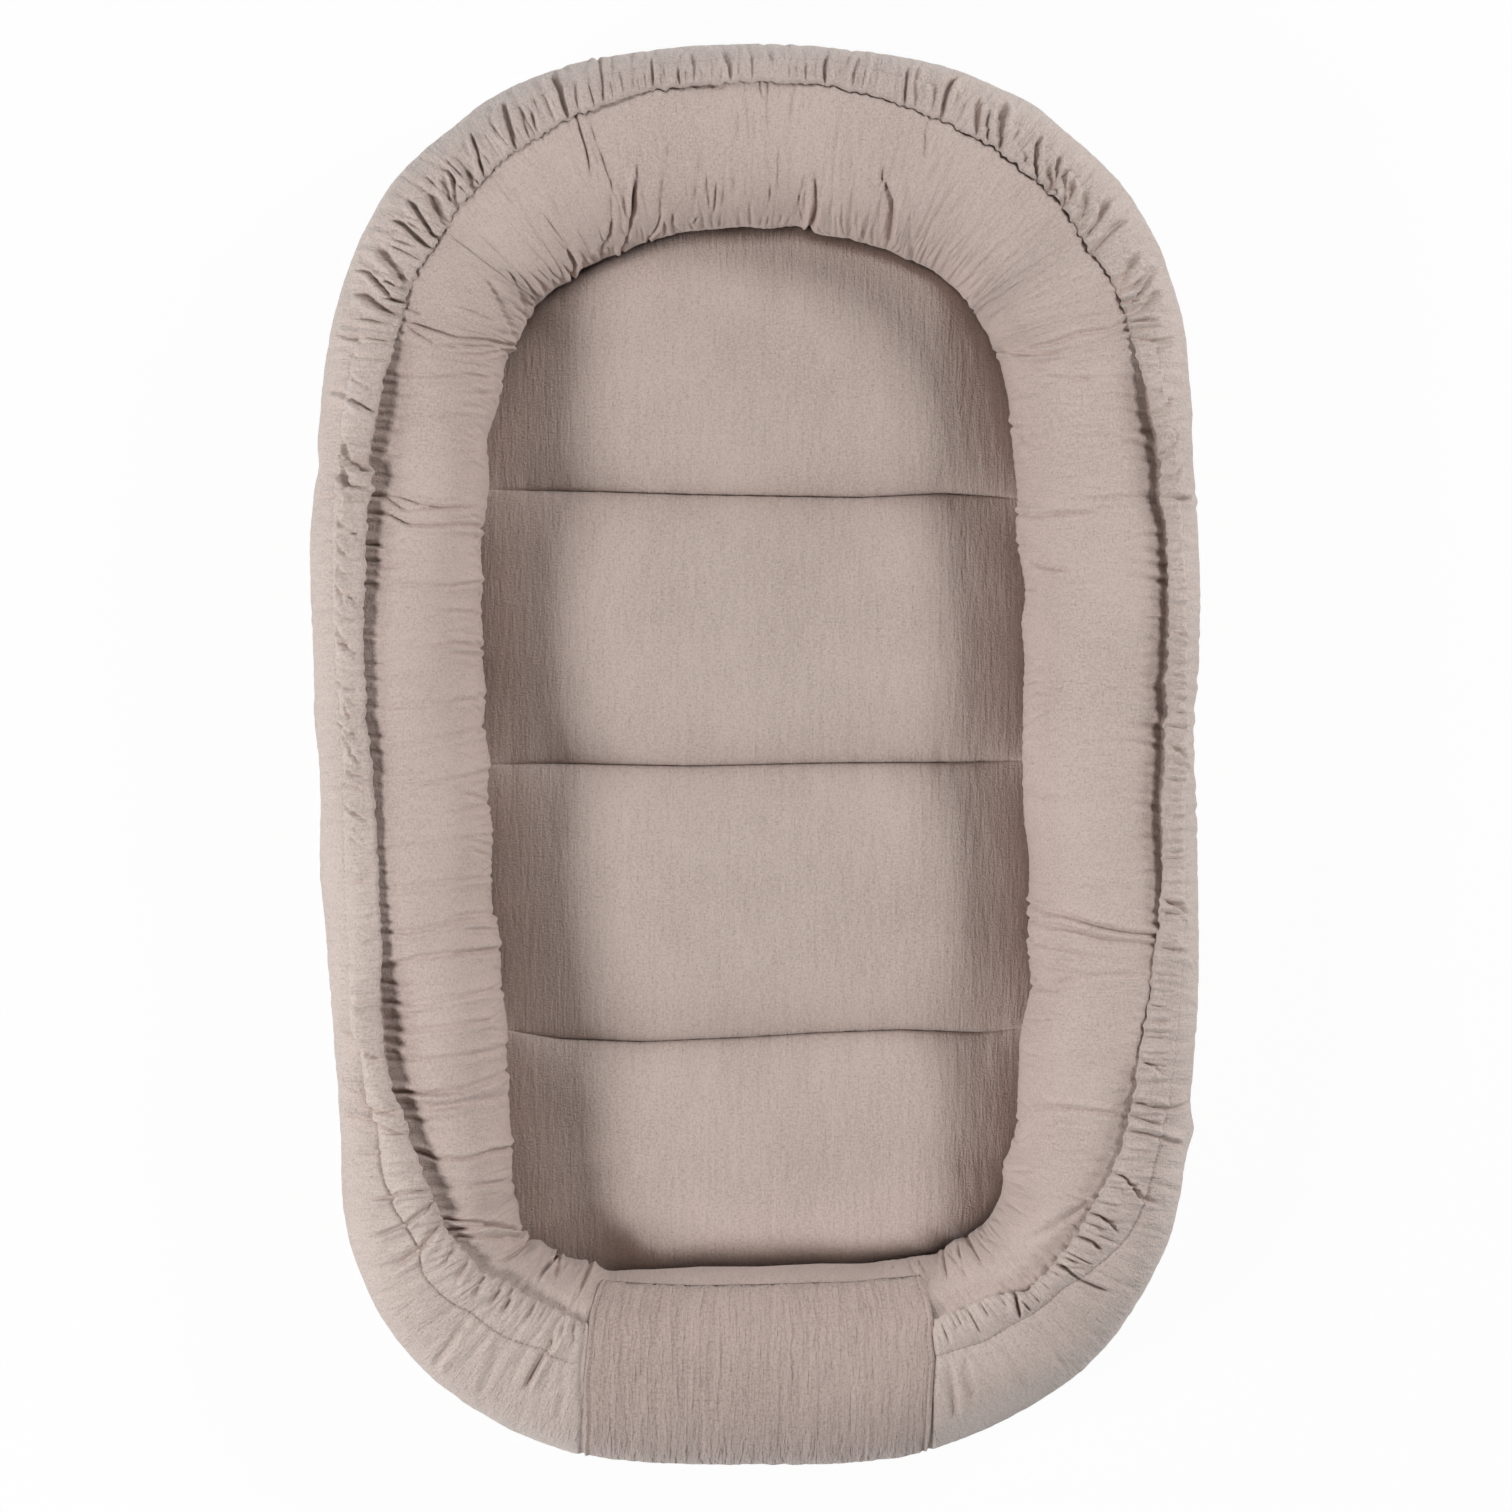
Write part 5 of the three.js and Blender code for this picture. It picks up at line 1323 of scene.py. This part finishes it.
# Rows bend with the sewn lines
for level, marks in zip(seam_levels, seam_lines):
    shift = np.interp(pad_x, marks[:, 0], marks[:, 1]) - level
    pad_y = pad_y + shift * np.exp(-(((pad_y - level) / 22) ** 2))


def shoulder(distance, width):
    """From 0 at the pad's edge to 1, steep at first and then ever flatter."""
    return 1 - (1 - np.clip(distance / width, 0, 1)) ** 2.3


def rim_at(x, y):
    """How far in from its edge the pad is at its full height: less at its two ends and at its right side."""
    at_end = smoothstep((np.abs(y + 5) - 235) / 70)
    left_corner = smoothstep((-y - 180) / 60) * smoothstep((-x - 60) / 60)
    width = PAD_RIM - (65 + 10 * (y > 0)) * at_end * (1 - 0.8 * left_corner) + 37 * left_corner
    return width - 25 * smoothstep((x + 20) / 60) * (1 - at_end)


def seam_level_at(x, y):
    return PAD_SEAM_LEVEL + 1.2 * plan_noise(x, y, 9, 200, 41)


# Four crowned channels, of which the first and the last don't fall again towards the pad's ends
PAD_END = 335.0
seam_y = [np.interp(pad_x, marks[:, 0], marks[:, 1]) for marks in seam_lines]
ends = [np.full_like(pad_x, PAD_END), *seam_y, np.full_like(pad_x, -PAD_END)]
crown = np.zeros_like(pad_x)
for index, (upper, lower) in enumerate(zip(ends, ends[1:])):
    off = (pad_y - (upper + lower) / 2) / ((upper - lower) / 2)
    if index == 0:
        off = np.minimum(off, 0)
    if index == len(ends) - 2:
        off = np.maximum(off, 0)
    rise = np.clip(1 - np.abs(off) ** 2.8, 0, 1) ** 0.52
    crown = np.where((pad_y <= upper) & (pad_y >= lower), rise, crown)
seam_level = seam_level_at(pad_x, pad_y)
pad_height = seam_level + (PAD_CROWN_LEVEL - seam_level) * crown
pad_height += 1.1 * plan_noise(pad_x, pad_y, 70, 60, 42) * crown
pad_height += 0.45 * plan_noise(pad_x, pad_y, 16, 40, 43) * crown
from_seam = np.min([np.abs(pad_y - line) for line in seam_y], axis=0)
pad_height += 0.5 * plan_noise(pad_x, pad_y, 5, 30, 44) * np.exp(-(((from_seam - 5) / 6) ** 2))
# Ripples of the loose cloth along the right side and in the corners of the foot end
right = np.flatnonzero(ring_x > 0)
right = right[np.argsort(ring_y[right])]
to_right = np.interp(pad_y, ring_y[right], pad_edge_x[right])
rippled = np.exp(-(((to_right - pad_x) / 42) ** 2)) * (pad_x > 0)
rippled += 0.7 * np.exp(-((pad_in / 34) ** 2)) * smoothstep((-pad_y - 150) / 60)
pad_height += 0.65 * rippled * plan_noise(pad_x + 0.18 * pad_y, pad_y, 5.5, 38, 45)
pad_height += 0.3 * rippled * plan_noise(pad_x - 0.1 * pad_y, pad_y, 3.2, 22, 46)
pad_height -= SEWN_DEPTH * np.exp(-((from_seam / 0.9) ** 2))
pad_top = PAD_RIM_LEVEL + (pad_height - PAD_RIM_LEVEL) * shoulder(pad_in, rim_at(pad_x, pad_y))
pad_points = np.stack([pad_x, pad_y, pad_top], axis=-1)


def pad_piece(name, points, flip, replaced):
    """A face of the pad, its points joined where they lie on one another along its middle line."""
    piece = plan_piece(name, points, False, pad_muslin, "pad", replaced, flip)
    work = bmesh.new()
    work.from_mesh(piece.data)
    bmesh.ops.remove_doubles(work, verts=work.verts, dist=0.00002)
    work.to_mesh(piece.data)
    work.free()
    piece.data.update()
    return piece


pad_fills = [f"pad_fill_{number}" for number in range(1, 5)]
pad_cover = pad_piece("pad_top", pad_points, False, ["pad_top_cover", *pad_fills])
UNDER_LEVEL = 8.2
UNDER_ROUND = 14
back_columns = [0, 6, 12, 18, 24, 32, 44, 75]
back_points = pad_points[::3][:, back_columns].copy()
still_out = 1 - np.clip(pad_in[::3][:, back_columns] / UNDER_ROUND, 0, 1)
back_points[..., 2] = PAD_RIM_LEVEL - 0.2 - (PAD_RIM_LEVEL - 0.2 - UNDER_LEVEL) * np.sqrt(1 - still_out**2)
back_points[:, 0, 2] = PAD_RIM_LEVEL - 0.1
pad_underside = pad_piece("pad_underside", back_points, True, ["pad_bottom_cover"])

# Seam round the pad and the stitches in its sewn lines
edge_ring = pad_edge[::2]
edge_next = np.roll(edge_ring, -1, axis=0) - np.roll(edge_ring, 1, axis=0)
edge_next /= np.linalg.norm(edge_next, axis=1)[:, None]
edge_out = np.stack([edge_next[:, 1], -edge_next[:, 0]], axis=-1)
bead_xy = edge_ring[:, None] + edge_out[:, None] * (0.7 * np.cos(bead_turns)[None, :, None] - 0.2)
bead_z = PAD_RIM_LEVEL + 0.8 * np.sin(bead_turns) + 0 * edge_ring[:, :1]
bead_points = np.concatenate([bead_xy, bead_z[..., None]], axis=-1)
plan_piece("pad_welt", bead_points, True, thread, "pad", ["pad_edge_seam"])

# The photograph's sewn lines go from the head end, and the solids' from the foot end
STITCHES_IN = 12
for number, level, marks in zip((3, 2, 1), seam_levels, seam_lines):
    left_end = edge_at(level, False)
    right_end = edge_at(level, True)
    xs = np.arange(left_end + STITCHES_IN, right_end - STITCHES_IN, 1.0)
    ys = np.interp(xs, marks[:, 0], marks[:, 1])
    sewn_level = seam_level_at(xs, ys) - SEWN_DEPTH
    raised = shoulder(np.minimum(xs - left_end, right_end - xs), rim_at(xs, ys))
    path = np.stack([xs, ys, PAD_RIM_LEVEL + (sewn_level - PAD_RIM_LEVEL) * raised + 0.25], axis=-1)
    up = np.tile([0.0, 0.0, 1.0], (len(xs), 1))
    node = f"quilt_seam_{number}"
    stitches(f"quilt_stitches_{number}", path, up, 0.3, "pad", [node], 2.6, 0.8)


def seen_by_camera(tree):
    """1 for what the camera sees, straight or through a reflection, and 0 for light."""
    path = add_node(tree, "LightPath").outputs
    first = maths(tree, "MAXIMUM", path["Is Camera Ray"], path["Is Glossy Ray"])
    return maths(tree, "MAXIMUM", first, path["Is Transmission Ray"])


# Floor
FLOOR_REACH = 6.0
FLOOR_GLOW = 0.95
floor_mesh = bpy.data.meshes.new("floor")
floor_corners = [(x * FLOOR_REACH, y * FLOOR_REACH, -0.0005) for x, y in ((-1, -1), (1, -1), (1, 1), (-1, 1))]
floor_mesh.from_pydata(floor_corners, [], [(0, 1, 2, 3)])
floor = bpy.data.objects.new("floor", floor_mesh)
bpy.context.scene.collection.objects.link(floor)
floor_material = bpy.data.materials.new("pale_floor")
floor_material.use_nodes = True
tree = floor_material.node_tree
floor_shader = tree.nodes["Principled BSDF"]
floor_shader.inputs["Base Color"].default_value = (0.9, 0.9, 0.9, 1)
floor_shader.inputs["Roughness"].default_value = 1
floor_shader.inputs["Specular IOR Level"].default_value = 0
floor_share = maths(tree, "MULTIPLY", seen_by_camera(tree), FLOOR_GLOW)
glow = add_node(tree, "Emission", {"Color": (1, 1, 1, 1), "Strength": 1})
floor_mix = add_node(tree, "MixShader", {0: floor_share, 1: floor_shader.outputs[0], 2: glow.outputs[0]})
tree.links.new(floor_mix.outputs[0], tree.nodes["Material Output"].inputs["Surface"])
floor_mesh.materials.append(floor_material)

# Pale studio walls round about and a dark ceiling: level as the sine of its elevation, and brightness
WORLD_LIGHT = [(0.0, 1.1), (0.25, 0.95), (0.42, 0.34), (0.6, 0.15), (0.85, 0.12)]
world = bpy.data.worlds.new("studio")
bpy.context.scene.world = world
world.use_nodes = True
tree = world.node_tree
toward = add_node(tree, "SeparateXYZ", {"Vector": add_node(tree, "TexCoord").outputs["Generated"]}).outputs
walls = add_node(tree, "ValToRGB", {"Fac": toward["Z"]})
stops = walls.color_ramp.elements
stops.remove(stops[1])
for index, (level, brightness) in enumerate(WORLD_LIGHT):
    stop = stops.new(level) if index else stops[0]
    stop.position = level
    stop.color = (brightness, brightness, brightness, 1)
# The walls to the left and right are nearer and so the brightest. The one beyond the foot end is the darkest.
nearness = maths(tree, "MULTIPLY_ADD", maths(tree, "MULTIPLY", toward["X"], toward["X"]), 1.15, 0.35)
strength = maths(tree, "MULTIPLY_ADD", toward["Y"], 0.32, nearness)
lighting = tree.nodes["Background"]
tree.links.new(walls.outputs["Color"], lighting.inputs["Color"])
tree.links.new(strength, lighting.inputs["Strength"])
backdrop = add_node(tree, "Background", {"Color": (1, 1, 1, 1), "Strength": 1})
seen = seen_by_camera(tree)
world_mix = add_node(tree, "MixShader", {0: seen, 1: lighting.outputs[0], 2: backdrop.outputs[0]})
tree.links.new(world_mix.outputs[0], tree.nodes["World Output"].inputs["Surface"])

LAMP_DISTANCE = 3
LAMP_SIZE = 0.8


def area_light(name, azimuth, elevation, power):
    """A square lamp. Azimuth 0 is to the right of the photograph and 90 beyond the head end."""
    around = math.radians(azimuth)
    up = math.radians(elevation)
    light = bpy.data.lights.new(name, "AREA")
    light.shape = "SQUARE"
    light.size = LAMP_SIZE
    light.energy = power
    lamp = bpy.data.objects.new(name, light)
    direction = (math.cos(up) * math.cos(around), math.cos(up) * math.sin(around), math.sin(up))
    lamp.location = [LAMP_DISTANCE * part for part in direction]
    lamp.rotation_mode = "QUATERNION"
    lamp.rotation_quaternion = (-lamp.location).to_track_quat("-Z", "Y")
    lamp.visible_camera = False
    bpy.context.scene.collection.objects.link(lamp)


area_light("left_light", 203, 42, 53)
area_light("right_light", 30, 42, 40)

camera_data = bpy.data.cameras.new("camera")
camera_data.sensor_width = SENSOR
camera_data.lens = SENSOR * CAMERA_HEIGHT / (PIXEL * IMAGE_SIDE)
camera = bpy.data.objects.new("camera", camera_data)
camera.location = (
    (IMAGE_SIDE / 2 - MIDDLE_X) * PIXEL * METRE,
    (MIDDLE_Y - IMAGE_SIDE / 2) * PIXEL * METRE,
    (WIDEST_LEVEL + CAMERA_HEIGHT) * METRE,
)
bpy.context.scene.collection.objects.link(camera)
bpy.context.scene.camera = camera
bpy.context.scene.view_settings.view_transform = "Standard"
